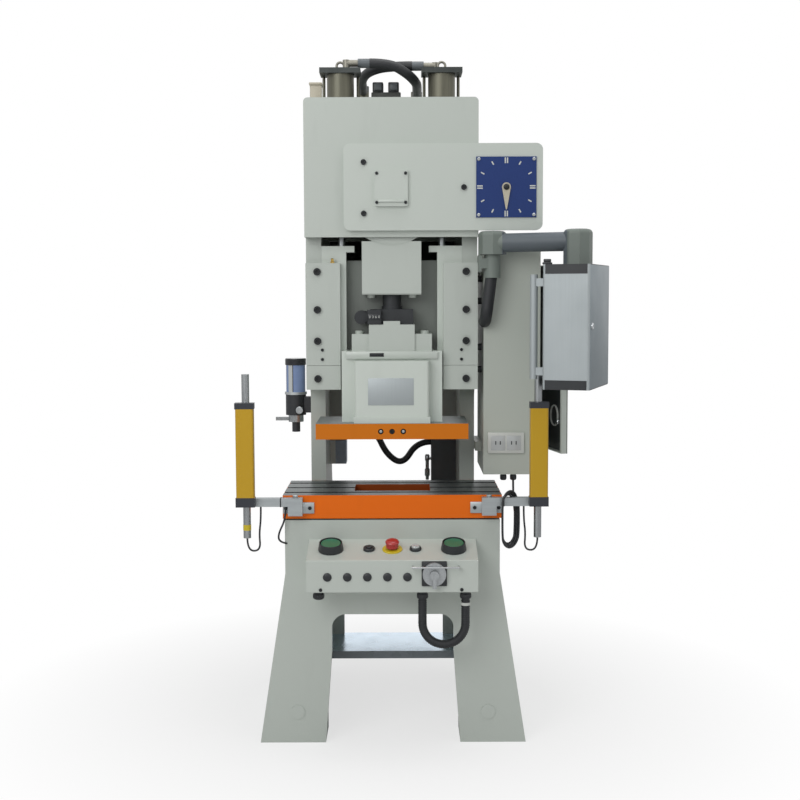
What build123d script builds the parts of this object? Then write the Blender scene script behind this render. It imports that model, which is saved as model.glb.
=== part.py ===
from build123d import *
from math import atan2, cos, degrees, pi, radians, sin
import os

os.makedirs("parts", exist_ok=True)

# Open-back C-frame stamping press. Origin on the floor, at the centre of the four anchor holes.
# X to the right, Y to the back, Z up. Millimetres.

# Clearances
slide_gap = 0.3          # soft or sliding faces that lie against each other
fit_gap = 0.05           # radial, shaft in hole

# Frame
frame_width = 560
side_t = 50
base_depth = 800
base_shoulder = 64       # base beyond the side plates, above the flare
foot_flare = 86
front_t = 25
rear_t = 20
flare_z = 557
bed_top_z = 735
bed_t = 60
column_front_y = -75
column_inset = 80        # from the base's rear plate to the back of the columns
column_heel = 60
throat_top_z = 1130
jaw_front_y = -240
jaw_z = 1150
frame_top_z = 2065
crown_t = 20
throat_r = 50
press_y = -240           # axis of the slide, the bolster and the drop-through hole

half = frame_width / 2
side_in = half - side_t
base_top_half = half + base_shoulder
foot_half = base_top_half + foot_flare
bed_z = bed_top_z - bed_t

# Bolster
bolster_w = 700
bolster_d = 320
bolster_t = 75
blank_w = 248
blank_d = 140
tee_pitch = 100
tee_w = 18
tee_depth = 34
tee_foot_w = 32
tee_foot_h = 14
bolster_top_z = bed_top_z + bolster_t
bolster_front_y = press_y - bolster_d / 2

# Base, flush with the bolster at the front
front_top_z = 730
arch_half = 196
arch_foot_half = 218
arch_z = 423
arch_knee_z = 300
arch_r = 45
rear_arch_spread = 50
wall_t = 16
foot_t = 30
toe_l = 125
toe_h = 90
anchor_inset = 90
anchor_r = 11
plug_x = 308
plug_z = 101
plug_r = 23
plug_t = 3
shelf_top_z = 230
shelf_t = 26
shelf_front_y = -150
shelf_rear_y = 66
web_t = 20
web_open_half = 177
web_open_rise = 40
front_y = bolster_front_y
rear_y = front_y + base_depth
front_back_y = front_y + front_t
rear_front_y = rear_y - rear_t
column_rear_y = rear_front_y - column_inset
anchor_x = 2 * (foot_half - anchor_inset)
anchor_y = base_depth - 2 * anchor_inset

# Crank train, with the slide at bottom dead centre
stroke = 60
adjust_up = 30
crank_z = 1786
journal_r = 60
crank_web_r = 100
crank_web_gap = 15
eccentric_r = 78
bush_t = 10
ring_gap = 2
ring_wall = 30
ring_recess = 6
rod_front_y = -290
rod_rear_y = -190
rod_half = 96
rod_drop = 309           # from the eccentric's centre to the underside of the connecting rod
rod_block_h = 172
rod_bolt_x = 67
screw_r = 30
screw_l = 283            # from the ball's centre to the top of the thread
wheel_r = 34
wheel_t = 9.7
ball_reach = 494         # from the eccentric's centre to the ball's centre
ball_r = 44
bearing_t = 50
front_bearing_y = -145
bearing_inset = 55
rear_bearing_y = column_rear_y - bearing_inset - bearing_t
bearing_low_z = 1640
bearing_high_z = 1960
bearing_wall = 12
flywheel_r = 300
flywheel_t = 90
flywheel_gap = 20
flywheel_y = column_rear_y + flywheel_gap
flywheel_rim = 50
flywheel_recess = 30
hub_r = 105
pulley_r = 45
motor_z = 1400
motor_r = 95
motor_l = 180
motor_inset = 20
motor_y = (column_rear_y - motor_inset - motor_l, column_rear_y - motor_inset)
throw = stroke / 2
crank_pin_z = crank_z - throw
rod_low_z = crank_pin_z - rod_drop
ball_z = crank_pin_z - ball_reach
screw_top_z = ball_z + screw_l
bush_r = eccentric_r + bush_t
ring_bore_r = bush_r + throw + ring_gap
ring_r = ring_bore_r + ring_wall

# Slide and its guides
gib_in = 168
gib_t = 30
gib_overhang = 12
gib_low_l = 79
gib_l = 412
gib_strip_t = 14
gib_strip_in = 175
rail_in = 149
rail_h = 341
rail_rear_y = -160
lug_in = 122
lug_out = 197
lug_h = 20
slide_half = 163
slide_h = 230
slide_step = 32
seat_drop = 3            # ball's centre below the top of the slide
slide_front_y = -300
nose_half = 120
nose_front_y = -345
nose_foot = 5
nose_foot_h = 20
pocket_web_t = 18
pocket_web_drop = 46
plate_w = 490
plate_d = 250
plate_t = 50
plate_pin_r = 9
plate_pin_pitch = 36
shank_r = 19.05
shank_deep = 70
cap_half = 74
cap_h = 86
wing_half = 130
wing_h = 55
cap_lug_half = 27
cap_lug_h = 97
worm_half = 70
worm_h = 49
worm_r = 22
counter_w = 46
gib_low_z = jaw_z - gib_overhang
gib_split_z = gib_low_z + gib_low_l
gib_high_z = gib_low_z + gib_l
slide_top_z = ball_z + seat_drop
slide_low_z = slide_top_z - slide_h
slide_box_z = slide_top_z - slide_step
rail_top_z = slide_top_z + rail_h
cap_top_z = slide_top_z + cap_h
worm_top_z = cap_top_z + worm_h

# Head
head_low_z = 1632
head_top_z = 2075
head_front_y = -300
cover_t = 4
dial_plate_left = -152
dial_plate_right = 484
dial_plate_low_z = 1652
dial_plate_high_z = 1927
dial_plate_t = 20
dial_plate_r = 21
end_cover_w = 106
end_cover_t = 12
dial_w = 192
dial_t = 4
dial_x = 367
dial_z = 1788
pointer_l = 71
pivot_r = 5

# Balance cylinders
cylinder_x = 165
cylinder_y = -198
cylinder_r = 44
cylinder_wall = 6
cylinder_drop = 90
cylinder_stand = 96
cylinder_head_w = 132
cylinder_head_d = 100
cylinder_head_t = 17
collar_r = 50
collar_t = 15
tie_rod_r = 5
balance_rod_r = 12
piston_t = 20
piston_lift = 25
cylinder_low_z = frame_top_z - cylinder_drop
cylinder_top_z = frame_top_z + cylinder_stand
piston_z = cylinder_low_z + piston_lift
elbow_rise = 16
elbow_offset_y = 26
elbow_pipe_r = 11
sleeve_r = 15
sleeve_reach = 96
top_hose_r = 16
crown_elbow_inset = 156
crown_elbow_y = column_rear_y - crown_elbow_inset
crown_elbow_reach = 34
crown_elbow_r = 20
upper_hose_x = -100
upper_hose_rise = 95
lower_hose_x = 88
lower_hose_rise = 75

# Console
console_half = 266
console_front_y = -545
console_low_z = 528
console_lip_z = 629
console_rear_z = 668
palm_x = 193
guard_r = 39
guard_h = 26
palm_r = 31
palm_h = 24
palm_travel = 6
stop_disc_r = 31
stop_r = 20
stop_travel = 5
bezel_x = 73
bezel_r = 17
push_r = 10
key_x = 130
key_z = 588
key_plate_w = 78
key_disc_r = 36
hole_plug_r = 12.7
hole_plug_pitch = 62
conduit_r = 12.5
conduit_x = (94, 229)
spare_gland_x = -231
conduit_y = -500
conduit_drop = 176

# Light curtains
curtain_x = 462
post_r = 12
clamp_plate_t = 6
post_low_z = 677
post_high_z = 1199
curtain_w = 56
curtain_d = 34
curtain_low_z = 812
curtain_high_z = 1092
cap_low_h = 30
cap_high_h = 19
arm_z = 778
arm_h = 27
arm_d = 24
arm_in = 285
clamp_w = 46
clamp_low_z = 748

# Cabinet
cabinet_gap = 20
cabinet_w = 185
cabinet_left = half + cabinet_gap
cabinet_right = cabinet_left + cabinet_w
cabinet_front_y = -260
cabinet_rear_y = 60
cabinet_low_z = 855
cabinet_high_z = 1585
cabinet_wall = 3
door_low_z = 922
door_high_z = 1545
door_t = 22
door_l = 300
door_gap = 2
hinge_r = 7
hinge_pin_r = 3
hinge_h = 40
hinge_inset = 90
bracket_inset = 80
bracket_h = 30
socket_w = 119
socket_h = 69
socket_t = 8
socket_inset = 14
socket_rise = 71
door_ajar = 13
gland_x = (cabinet_left + 69, cabinet_left + 102)
gland_inset = 40
gland_y = cabinet_front_y + gland_inset

# Pendant
pendant_arm_reach = 44
pendant_arm_x = half + pendant_arm_reach
pendant_arm_y = -312
pendant_arm_z = 1611
pendant_reach = 258
pendant_x = pendant_arm_x + pendant_reach
pendant_y = -430
pendant_w = 145
pendant_l = 305
pendant_shift = 12.5     # box's middle forward of its pivot
pendant_low_z = 1158
pendant_high_z = 1537
pendant_yaw = -20
arm_tube_r = 30
elbow_r = 42
pivot_pin_r = 14
handle_r = 12

# Lubricator
lube_reach = 55
lube_x = -half - lube_reach
lube_y = -30
lube_r = 35
lube_low_z = 1034
lube_flange_z = 1105
lube_tank_z = 1114
lube_cap_z = 1207
lube_top_z = 1230
lube_stem_r = 14
lube_stem_l = 59
lever_r = 26
lever_h = 24

# Boxes behind the throat
throat_box_d = 100
throat_box_y = column_rear_y - throat_box_d
throat_box_top_z = 1110
left_box_w = 58
left_box_in = side_in - left_box_w
left_box_low_z = 830
right_box_w = 90
right_box_in = side_in - right_box_w

# Cords
cable_r = 3
cabinet_cable_r = 4
hose_r = 11.5
hank_x = 372
hank_r = 10
hank_w = 76
hank_low_z = 650
hank_rise = 6.2          # inside of the hank's top above the arm that it hangs on
hank_turn = 50


def block(x, y, z, mode=Mode.ADD):
    """A box between two values on each axis."""
    with Locations(((x[0] + x[1]) / 2, (y[0] + y[1]) / 2, (z[0] + z[1]) / 2)):
        Box(abs(x[1] - x[0]), abs(y[1] - y[0]), abs(z[1] - z[0]), mode=mode)


def rod_y(x, z, r, y, mode=Mode.ADD):
    """A cylinder along Y between two values."""
    with Locations(Location((x, (y[0] + y[1]) / 2, z), (90, 0, 0))):
        Cylinder(r, abs(y[1] - y[0]), mode=mode)


def rod_x(y, z, r, x, mode=Mode.ADD):
    """A cylinder along X between two values."""
    with Locations(Location(((x[0] + x[1]) / 2, y, z), (0, 90, 0))):
        Cylinder(r, abs(x[1] - x[0]), mode=mode)


def rod_z(x, y, r, z, mode=Mode.ADD):
    """A cylinder along Z between two values."""
    with Locations((x, y, (z[0] + z[1]) / 2)):
        Cylinder(r, abs(z[1] - z[0]), mode=mode)


def cap_screws(plane, places, head_r, head_h):
    """Socket-head screws standing on a plane, one solid each."""
    with BuildPart() as screws:
        for place in places:
            with BuildSketch(plane):
                with Locations(place):
                    Circle(head_r)
                    RegularPolygon(head_r * 0.55, 6, mode=Mode.SUBTRACT)
            extrude(amount=head_h)
            with BuildSketch(plane):
                with Locations(place):
                    Circle(head_r * 0.98)
            extrude(amount=head_h * 0.4)
    return screws.part


def tube(points, radius, name):
    """A cord's tube: straight runs joined by the largest arcs that they allow."""
    route = [Vector(*p) for p in points]
    runs = [b - a for a, b in zip(route, route[1:])]
    radii = []
    for a, b in zip(runs, runs[1:]):
        half_turn = radians(a.get_angle(b)) / 2
        radii.append(0.45 * min(a.length, b.length) * cos(half_turn) / sin(half_turn))
    print(name, "radii", [round(r, 1) for r in radii])
    with BuildPart() as pipe:
        with BuildLine() as path:
            FilletPolyline(*route, radius=radii)
        with BuildSketch(Plane(origin=path.line @ 0, z_dir=path.line % 0)):
            Circle(radius)
        sweep()
    length = path.wires()[0].length
    share = pipe.part.volume / (pi * radius**2 * length)
    print(name, "length", round(length, 1), "volume share", round(share, 4))
    return pipe.part


def save(part, name):
    part.label = name
    export_step(part, f"parts/{name}.step")


def save_group(parts, name):
    """Pieces that touch but stay separate solids in one file."""
    solids = [solid for part in parts for solid in part.solids()]
    save(Compound(children=solids), name)


# Side plates: one C-shaped plate each, from the shelf to the crown
for name, x_in in (("side_plate_left", -half), ("side_plate_right", side_in)):
    with BuildPart() as side_plate:
        with BuildSketch(Plane.YZ.offset(x_in)):
            with BuildLine():
                Polyline(
                    (front_back_y, shelf_top_z - shelf_t),
                    (front_back_y, bed_z),
                    (column_front_y, bed_z),
                    (column_front_y, throat_top_z),
                    (jaw_front_y, jaw_z),
                    (jaw_front_y, frame_top_z),
                    (column_rear_y, frame_top_z),
                    (column_rear_y, bed_top_z + column_heel),
                    (rear_front_y, bed_z - column_heel),
                    (rear_front_y, shelf_top_z - shelf_t),
                    close=True,
                )
            make_face()
            corner = vertices().filter_by_position(Axis.Y, throat_top_z - 1, throat_top_z + 1)
            fillet(corner, throat_r)
        extrude(amount=side_t)
    save(side_plate.part, name)


def base_plate(y, thickness, spread):
    """Flared plate across the base, with an arch between its legs, widened by a spread."""
    knee = arch_half + spread
    toe = arch_foot_half + spread
    with BuildPart() as plate:
        with BuildSketch(Plane.XZ.offset(-y)):
            with BuildLine():
                Polyline(
                    (-foot_half, 0),
                    (-base_top_half, flare_z),
                    (-base_top_half, front_top_z),
                    (base_top_half, front_top_z),
                    (base_top_half, flare_z),
                    (foot_half, 0),
                    (toe, 0),
                    (knee, arch_knee_z),
                    (knee, arch_z),
                    (-knee, arch_z),
                    (-knee, arch_knee_z),
                    (-toe, 0),
                    close=True,
                )
            make_face()
            crown = vertices().filter_by_position(Axis.Y, arch_z - 1, arch_z + 1)
            fillet(crown, arch_r)
        extrude(amount=-thickness)
    return plate


front_plate = base_plate(front_y, front_t, 0)
with BuildPart() as base_front_plate:
    add(front_plate.part)
    for x in (-plug_x, plug_x):
        rod_y(x, plug_z, plug_r, (front_y - plug_t, front_y))
save(base_front_plate.part, "base_front_plate")

rear_plate = base_plate(rear_front_y, rear_t, rear_arch_spread)
save(rear_plate.part, "base_rear_plate")

with BuildPart() as leg_walls:
    slope = (foot_half - base_top_half) / flare_z
    foot_x = foot_half - slope * foot_t
    with BuildSketch(Plane.XZ.offset(-front_back_y)):
        with BuildLine():
            Polyline(
                (foot_x, foot_t),
                (base_top_half, flare_z),
                (base_top_half, bed_z),
                (base_top_half - wall_t, bed_z),
                (base_top_half - wall_t, flare_z),
                (foot_x - wall_t, foot_t),
                close=True,
            )
        make_face()
        mirror(about=Plane.YZ)
    extrude(amount=-(rear_front_y - front_back_y))
save(leg_walls.part, "leg_walls")

# Feet: a plate under each leg, with a toe block behind the front plate
with BuildPart() as foot_plates:
    foot_in = arch_foot_half + rear_arch_spread
    for side in (-1, 1):
        block((side * foot_in, side * foot_x), (front_back_y, rear_front_y), (0, foot_t))
        block((side * arch_foot_half, side * foot_in), (front_back_y, front_back_y + toe_l), (0, toe_h))
    with Locations((0, (front_y + rear_y) / 2, foot_t / 2)):
        with GridLocations(anchor_x, anchor_y, 2, 2):
            Cylinder(anchor_r, foot_t, mode=Mode.SUBTRACT)
save(foot_plates.part, "foot_plates")

# Bed plate: notched round the columns, with the drop-through hole
with BuildPart() as bed_plate:
    block((-base_top_half, base_top_half), (front_back_y, rear_front_y), (bed_z, bed_top_z))
    for x in ((-half - slide_gap, -side_in + slide_gap), (side_in - slide_gap, half + slide_gap)):
        block(x, (column_front_y - slide_gap, rear_front_y), (bed_z, bed_top_z), Mode.SUBTRACT)
    with Locations((0, press_y, bed_z + bed_t / 2)):
        Box(blank_w, blank_d, bed_t, mode=Mode.SUBTRACT)
save(bed_plate.part, "bed_plate")

with BuildPart() as base_shelf:
    block((-side_in, side_in), (shelf_front_y, shelf_rear_y), (shelf_top_z - shelf_t, shelf_top_z))
    with BuildSketch(Plane.XZ.offset(-shelf_rear_y)):
        with Locations((0, (shelf_top_z - shelf_t + bed_z) / 2)):
            Rectangle(2 * side_in, bed_z - shelf_top_z + shelf_t)
        with Locations((0, (shelf_top_z + arch_z + web_open_rise) / 2)):
            Rectangle(2 * web_open_half, arch_z - shelf_top_z + web_open_rise, mode=Mode.SUBTRACT)
    extrude(amount=-web_t)
save(base_shelf.part, "base_shelf")

# Bolster: T-slots across its top and a hole for the blanks
with BuildPart() as bolster:
    with BuildSketch(Plane.YZ.offset(-bolster_w / 2)):
        with Locations((press_y, bed_top_z + bolster_t / 2)):
            Rectangle(bolster_d, bolster_t)
        for step in (-1, 0, 1):
            y = press_y + step * tee_pitch
            with Locations((y, bolster_top_z - tee_depth / 2)):
                Rectangle(tee_w, tee_depth, mode=Mode.SUBTRACT)
            with Locations((y, bolster_top_z - tee_depth + tee_foot_h / 2)):
                Rectangle(tee_foot_w, tee_foot_h, mode=Mode.SUBTRACT)
    extrude(amount=bolster_w)
    with Locations((0, press_y, bed_top_z + bolster_t / 2)):
        Box(blank_w, blank_d, bolster_t, mode=Mode.SUBTRACT)
save(bolster.part, "bolster")

# Crown: two bearing plates and the top plate between the side plates
bearing_bore_r = journal_r + fit_gap + bearing_wall
with BuildPart() as crown_plates:
    for y in (front_bearing_y, rear_bearing_y):
        block((-side_in, side_in), (y, y + bearing_t), (bearing_low_z, bearing_high_z))
        rod_y(0, crank_z, bearing_bore_r, (y, y + bearing_t), Mode.SUBTRACT)
    crown_span = (frame_top_z - crown_t, frame_top_z)
    block((-side_in, side_in), (jaw_front_y, column_rear_y), crown_span)
    for x in (-cylinder_x, cylinder_x):
        rod_z(x, cylinder_y, cylinder_r + fit_gap, crown_span, Mode.SUBTRACT)
save(crown_plates.part, "crown_plates")

with BuildPart() as main_bearings:
    for y in (front_bearing_y, rear_bearing_y):
        rod_y(0, crank_z, bearing_bore_r, (y, y + bearing_t))
        rod_y(0, crank_z, journal_r + fit_gap, (y, y + bearing_t), Mode.SUBTRACT)
save(main_bearings.part, "main_bearings")

# Crankshaft: journal, web, eccentric and the tapered seat of the flywheel
with BuildPart() as crankshaft:
    rod_y(0, crank_z, journal_r, (rod_rear_y, flywheel_y + flywheel_t + 12))
    rod_y(0, crank_z, crank_web_r, (rod_rear_y + 4, front_bearing_y - crank_web_gap))
    rod_y(0, crank_pin_z, eccentric_r, (rod_front_y + 2, rod_rear_y + 4))
save(crankshaft.part, "crankshaft")

with BuildPart() as eccentric_bush:
    rod_y(0, crank_pin_z, bush_r, (rod_front_y + 4, rod_rear_y - 2))
    rod_y(0, crank_pin_z, eccentric_r, (rod_front_y + 4, rod_rear_y - 2), Mode.SUBTRACT)
save(eccentric_bush.part, "eccentric_bush")

# Connecting rod: big end set back behind the face of its block, and the threaded socket of the screw
with BuildPart() as connecting_rod:
    ring_front_y = rod_front_y + ring_recess
    rod_y(0, crank_pin_z, ring_r, (ring_front_y, rod_rear_y))
    block((-rod_half, rod_half), (rod_front_y, rod_rear_y), (rod_low_z, rod_low_z + rod_block_h))
    rod_y(0, crank_pin_z, ring_r + 1, (rod_front_y, ring_front_y), Mode.SUBTRACT)
    rod_y(0, crank_pin_z, ring_bore_r, (rod_front_y, rod_rear_y), Mode.SUBTRACT)
    rod_z(0, press_y, screw_r + fit_gap, (rod_low_z, screw_top_z + adjust_up + 10), Mode.SUBTRACT)
    chamfer(edges().group_by(Axis.Z)[0].filter_by(Axis.X), 4)
under_rod = Plane(origin=(0, press_y, rod_low_z), z_dir=(0, 0, -1))
rod_bolts = cap_screws(under_rod, [(-rod_bolt_x, 0), (rod_bolt_x, 0)], 13, 10)
save_group([connecting_rod.part, rod_bolts], "connecting_rod")

# Adjusting screw: thread, wheel collar and ball
with BuildPart() as adjusting_screw:
    with BuildSketch(Plane.XZ.offset(-press_y)):
        with BuildLine():
            Polyline((0, screw_top_z), (screw_r, screw_top_z), (screw_r, ball_z))
            Line((screw_r, ball_z), (ball_r, ball_z))
            CenterArc((0, ball_z), ball_r, 0, -90)
            Line((0, ball_z - ball_r), (0, screw_top_z))
        make_face()
    revolve(axis=Axis((0, press_y, 0), (0, 0, 1)))
    wheel_low_z = worm_top_z + slide_gap
    rod_z(0, press_y, wheel_r, (wheel_low_z, wheel_low_z + wheel_t))
save(adjusting_screw.part, "adjusting_screw")

# Slide: guide rails, pocket behind the screw, box body and nose
with BuildPart() as slide:
    guide_y = (jaw_front_y + slide_gap, rail_rear_y)
    rail_out = side_in - slide_gap
    block((-rail_out, rail_out), guide_y, (gib_low_z, rail_top_z))
    block((-slide_half, slide_half), (slide_front_y, rail_rear_y), (slide_low_z, slide_top_z))
    for x in (-1, 1):
        block((x * slide_half, x * rail_in), (slide_front_y, guide_y[0]), (slide_box_z, slide_top_z))
    pocket_y = (slide_front_y, rail_rear_y - pocket_web_t)
    block((-rail_in, rail_in), pocket_y, (slide_top_z, rail_top_z), Mode.SUBTRACT)
    web_top = (rail_top_z - pocket_web_drop, rail_top_z)
    block((-rail_in, rail_in), (pocket_y[1], rail_rear_y), web_top, Mode.SUBTRACT)
    for x in (-1, 1):
        block((x * lug_in, x * lug_out), guide_y, (rail_top_z - lug_h, rail_top_z))
    block((-nose_half, nose_half), (nose_front_y, slide_front_y), (slide_low_z, slide_box_z + 2))
    fillet(edges().filter_by(Axis.Z).group_by(Axis.Y)[0], 10)
    foot_half_w = nose_half + 3
    foot_y = (nose_front_y - nose_foot, slide_front_y)
    block((-foot_half_w, foot_half_w), foot_y, (slide_low_z, slide_low_z + nose_foot_h))
    with Locations((0, press_y, ball_z)):
        Sphere(ball_r + fit_gap, mode=Mode.SUBTRACT)
    rod_z(0, press_y, ball_r + fit_gap, (ball_z, slide_top_z), Mode.SUBTRACT)
    rod_z(0, press_y, shank_r, (slide_low_z, slide_low_z + shank_deep), Mode.SUBTRACT)
save(slide.part, "slide")

# Slide plate: shank hole and three clamp holes in the front edge
plate_top_z = slide_low_z
plate_low_z = plate_top_z - plate_t
with BuildPart() as slide_plate:
    with Locations((0, press_y, plate_top_z - plate_t / 2)):
        Box(plate_w, plate_d, plate_t)
    rod_z(0, press_y, shank_r, (plate_low_z, plate_top_z), Mode.SUBTRACT)
    plate_front_y = press_y - plate_d / 2
    pin_y = (plate_front_y, plate_front_y + 30)
    for x in (-plate_pin_pitch, 0, plate_pin_pitch):
        rod_y(x, plate_top_z - plate_t / 2, plate_pin_r, pin_y, Mode.SUBTRACT)
save(slide_plate.part, "slide_plate")

# Ball-seat cap: block, lug and two bolted wings
wing_top_z = slide_top_z + wing_h
lug_top_z = slide_top_z + cap_lug_h
with BuildPart() as ball_seat_cap:
    block((-cap_half, cap_half), (slide_front_y, rod_rear_y + 6), (slide_top_z, cap_top_z - slide_gap))
    block((-wing_half, wing_half), (slide_front_y + 8, rod_rear_y - 2), (slide_top_z, wing_top_z))
    block((-cap_lug_half, cap_lug_half), (slide_front_y, slide_front_y + 20), (cap_top_z - 30, lug_top_z))
    rod_z(0, press_y, screw_r + 2, (slide_top_z, lug_top_z), Mode.SUBTRACT)
cap_wings = Plane(origin=(0, press_y, wing_top_z))
cap_bolts = cap_screws(cap_wings, [(x, y) for x in (-107, 107) for y in (-18, 18)], 13, 10)
save_group([ball_seat_cap.part, cap_bolts], "ball_seat_cap")

# Height adjustment: worm housing round the screw, with its counter in front
worm_y = (rod_front_y + 12, rod_rear_y - 2)
worm_z = cap_top_z + worm_h / 2
with BuildPart() as worm_housing:
    block((-worm_half, worm_half), worm_y, (cap_top_z, worm_top_z))
    rod_y(-worm_half - 30, worm_z - 1.5, worm_r, (worm_y[0] + 10, worm_y[1] - 12))
    block((-worm_half - 30, -worm_half), (worm_y[0] + 16, worm_y[1] - 18), (cap_top_z + 3, worm_top_z - 6))
    rod_z(0, press_y, screw_r + 2, (cap_top_z, worm_top_z), Mode.SUBTRACT)

with BuildPart() as height_counter:
    with Locations((-counter_w - 10, worm_y[0] - 12, worm_z)):
        Box(counter_w, 24, worm_h - 3)
    fillet(edges().filter_by(Axis.Z).group_by(Axis.Y)[0], 4)
save_group([worm_housing.part, height_counter.part], "height_adjuster")

# Gibs: front plates in two lengths, rear strips behind the rails
with BuildPart() as gib_plates:
    for x in (-1, 1):
        for z in ((gib_low_z, gib_split_z - 0.5), (gib_split_z + 0.5, gib_high_z)):
            block((x * gib_in, x * half), (jaw_front_y - gib_t, jaw_front_y), z)
        rear_strip = (rail_rear_y + slide_gap, rail_rear_y + gib_strip_t)
        block((x * gib_strip_in, x * side_in), rear_strip, (jaw_z + 10, gib_high_z))
save(gib_plates.part, "gib_plates")

# Black socket screws on the gibs, the covers and the side of the frame
gib_face = Plane(origin=(0, jaw_front_y - gib_t, 0), x_dir=(1, 0, 0), z_dir=(0, -1, 0))
head_face = Plane(origin=(0, head_front_y - dial_plate_t, 0), x_dir=(1, 0, 0), z_dir=(0, -1, 0))
end_face = Plane(
    origin=(0, head_front_y - dial_plate_t - end_cover_t, 0), x_dir=(1, 0, 0), z_dir=(0, -1, 0)
)
gib_bolt_x = half - 38
gib_rows = (gib_low_z + 36, gib_split_z + 80, gib_high_z - 151, gib_high_z - 28)
gib_places = [(x, z) for x in (-gib_bolt_x, gib_bolt_x) for z in gib_rows]
lock_x = half - 53
lock_places = [(x, gib_split_z + rise) for x in (-lock_x, lock_x) for rise in (20, 51)]
cover_places = [(-88, dial_z + 80), (-88, dial_z - 82), (232, dial_z)]
end_places = [(x, z) for x in (-46, 46) for z in (crank_z - 46, crank_z + 46)]
right_side = Plane(origin=(half, 0, 0), x_dir=(0, 1, 0), z_dir=(1, 0, 0))
side_places = [(jaw_front_y + 25, jaw_z + rise) for rise in (51, 124, 276, 349)]
with BuildPart() as frame_bolts:
    add(cap_screws(gib_face, gib_places, 12, 9))
    add(cap_screws(gib_face, lock_places, 5, 4))
    add(cap_screws(head_face, cover_places, 9, 7))
    add(cap_screws(end_face, end_places, 5, 4))
    add(cap_screws(right_side, side_places, 11, 16))
save(frame_bolts.part, "frame_bolts")

# Head cover: folded sheet over the front of the crown, open below
with BuildPart() as head_cover:
    block((-half, half), (head_front_y, jaw_front_y), (head_low_z, head_top_z))
    fillet(edges().filter_by(Axis.Y).group_by(Axis.Z)[-1], 14)
    inside = (-half + cover_t, half - cover_t)
    block(inside, (head_front_y + cover_t, jaw_front_y), (head_low_z, head_top_z - cover_t), Mode.SUBTRACT)
    block((-half, half), (cylinder_y - collar_r - 2, jaw_front_y), (frame_top_z, head_top_z), Mode.SUBTRACT)
save(head_cover.part, "head_cover")

# Raised cover: shallow folded box that carries the dial beside the head
dial_plate_mid_x = (dial_plate_left + dial_plate_right) / 2
dial_plate_mid_z = (dial_plate_low_z + dial_plate_high_z) / 2
dial_plate_w = dial_plate_right - dial_plate_left
dial_plate_h = dial_plate_high_z - dial_plate_low_z
with BuildPart() as dial_cover:
    with BuildSketch(Plane.XZ.offset(-head_front_y)):
        with Locations((dial_plate_mid_x, dial_plate_mid_z)):
            RectangleRounded(dial_plate_w, dial_plate_h, dial_plate_r)
    extrude(amount=dial_plate_t)
    with BuildSketch(Plane.XZ.offset(-head_front_y)):
        with Locations((dial_plate_mid_x, dial_plate_mid_z)):
            RectangleRounded(dial_plate_w - 2 * cover_t, dial_plate_h - 2 * cover_t, dial_plate_r - cover_t)
    extrude(amount=dial_plate_t - cover_t, mode=Mode.SUBTRACT)
    rod_y(dial_x, dial_z, pivot_r + fit_gap, (head_front_y - dial_plate_t, head_front_y), Mode.SUBTRACT)
save(dial_cover.part, "dial_cover")

with BuildPart() as shaft_end_cover:
    with BuildSketch(Plane.XZ.offset(-head_front_y + dial_plate_t)):
        with Locations((0, crank_z)):
            RectangleRounded(end_cover_w, end_cover_w + 10, 6)
    extrude(amount=end_cover_t)
save(shaft_end_cover.part, "shaft_end_cover")

with BuildPart() as dial_face:
    with BuildSketch(Plane.XZ.offset(-head_front_y + dial_plate_t)):
        with Locations((dial_x, dial_z)):
            Rectangle(dial_w, dial_w)
            Circle(pivot_r + fit_gap, mode=Mode.SUBTRACT)
    extrude(amount=dial_t)
save(dial_face.part, "dial_face")

# Pointer: teardrop on its spindle, hanging at bottom dead centre
pointer_y = head_front_y - dial_plate_t - dial_t - 2
with BuildPart() as dial_pointer:
    with BuildSketch(Plane.XZ.offset(-pointer_y)) as teardrop:
        with Locations((dial_x, dial_z)):
            Circle(14)
        with Locations((dial_x, dial_z - pointer_l + 2)):
            Circle(2)
        make_hull()
    extrude(amount=4)
    rod_y(dial_x, dial_z, pivot_r, (pointer_y, head_front_y - cover_t))
save(dial_pointer.part, "dial_pointer")

# Balance cylinders: tube, collar on the crown, square head, four tie rods and a lifting eye
with BuildPart() as balance_cylinders:
    for x in (-cylinder_x, cylinder_x):
        rod_z(x, cylinder_y, cylinder_r, (cylinder_low_z, cylinder_top_z))
        rod_z(x, cylinder_y, collar_r, (frame_top_z, frame_top_z + collar_t))
        with Locations((x, cylinder_y, cylinder_top_z + cylinder_head_t / 2)):
            Box(cylinder_head_w, cylinder_head_d, cylinder_head_t)
        bore = (cylinder_low_z + 8, cylinder_top_z)
        rod_z(x, cylinder_y, cylinder_r - cylinder_wall, bore, Mode.SUBTRACT)
        rod_z(x, cylinder_y, balance_rod_r + fit_gap, (cylinder_low_z, cylinder_low_z + 8), Mode.SUBTRACT)
        for dx in (-56, 56):
            rod_z(x + dx, cylinder_y + 40, tie_rod_r, (frame_top_z, cylinder_top_z))
        with Locations(Location((x, cylinder_y, cylinder_top_z + cylinder_head_t + 12), (90, 0, 0))):
            Torus(12, 4)

with BuildPart() as balance_rods:
    for x in (-cylinder_x, cylinder_x):
        rod_z(x, cylinder_y, balance_rod_r, (rail_top_z, piston_z))
        rod_z(x, cylinder_y, cylinder_r - cylinder_wall - fit_gap, (piston_z, piston_z + piston_t))
save(balance_rods.part, "balance_rods")

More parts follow.
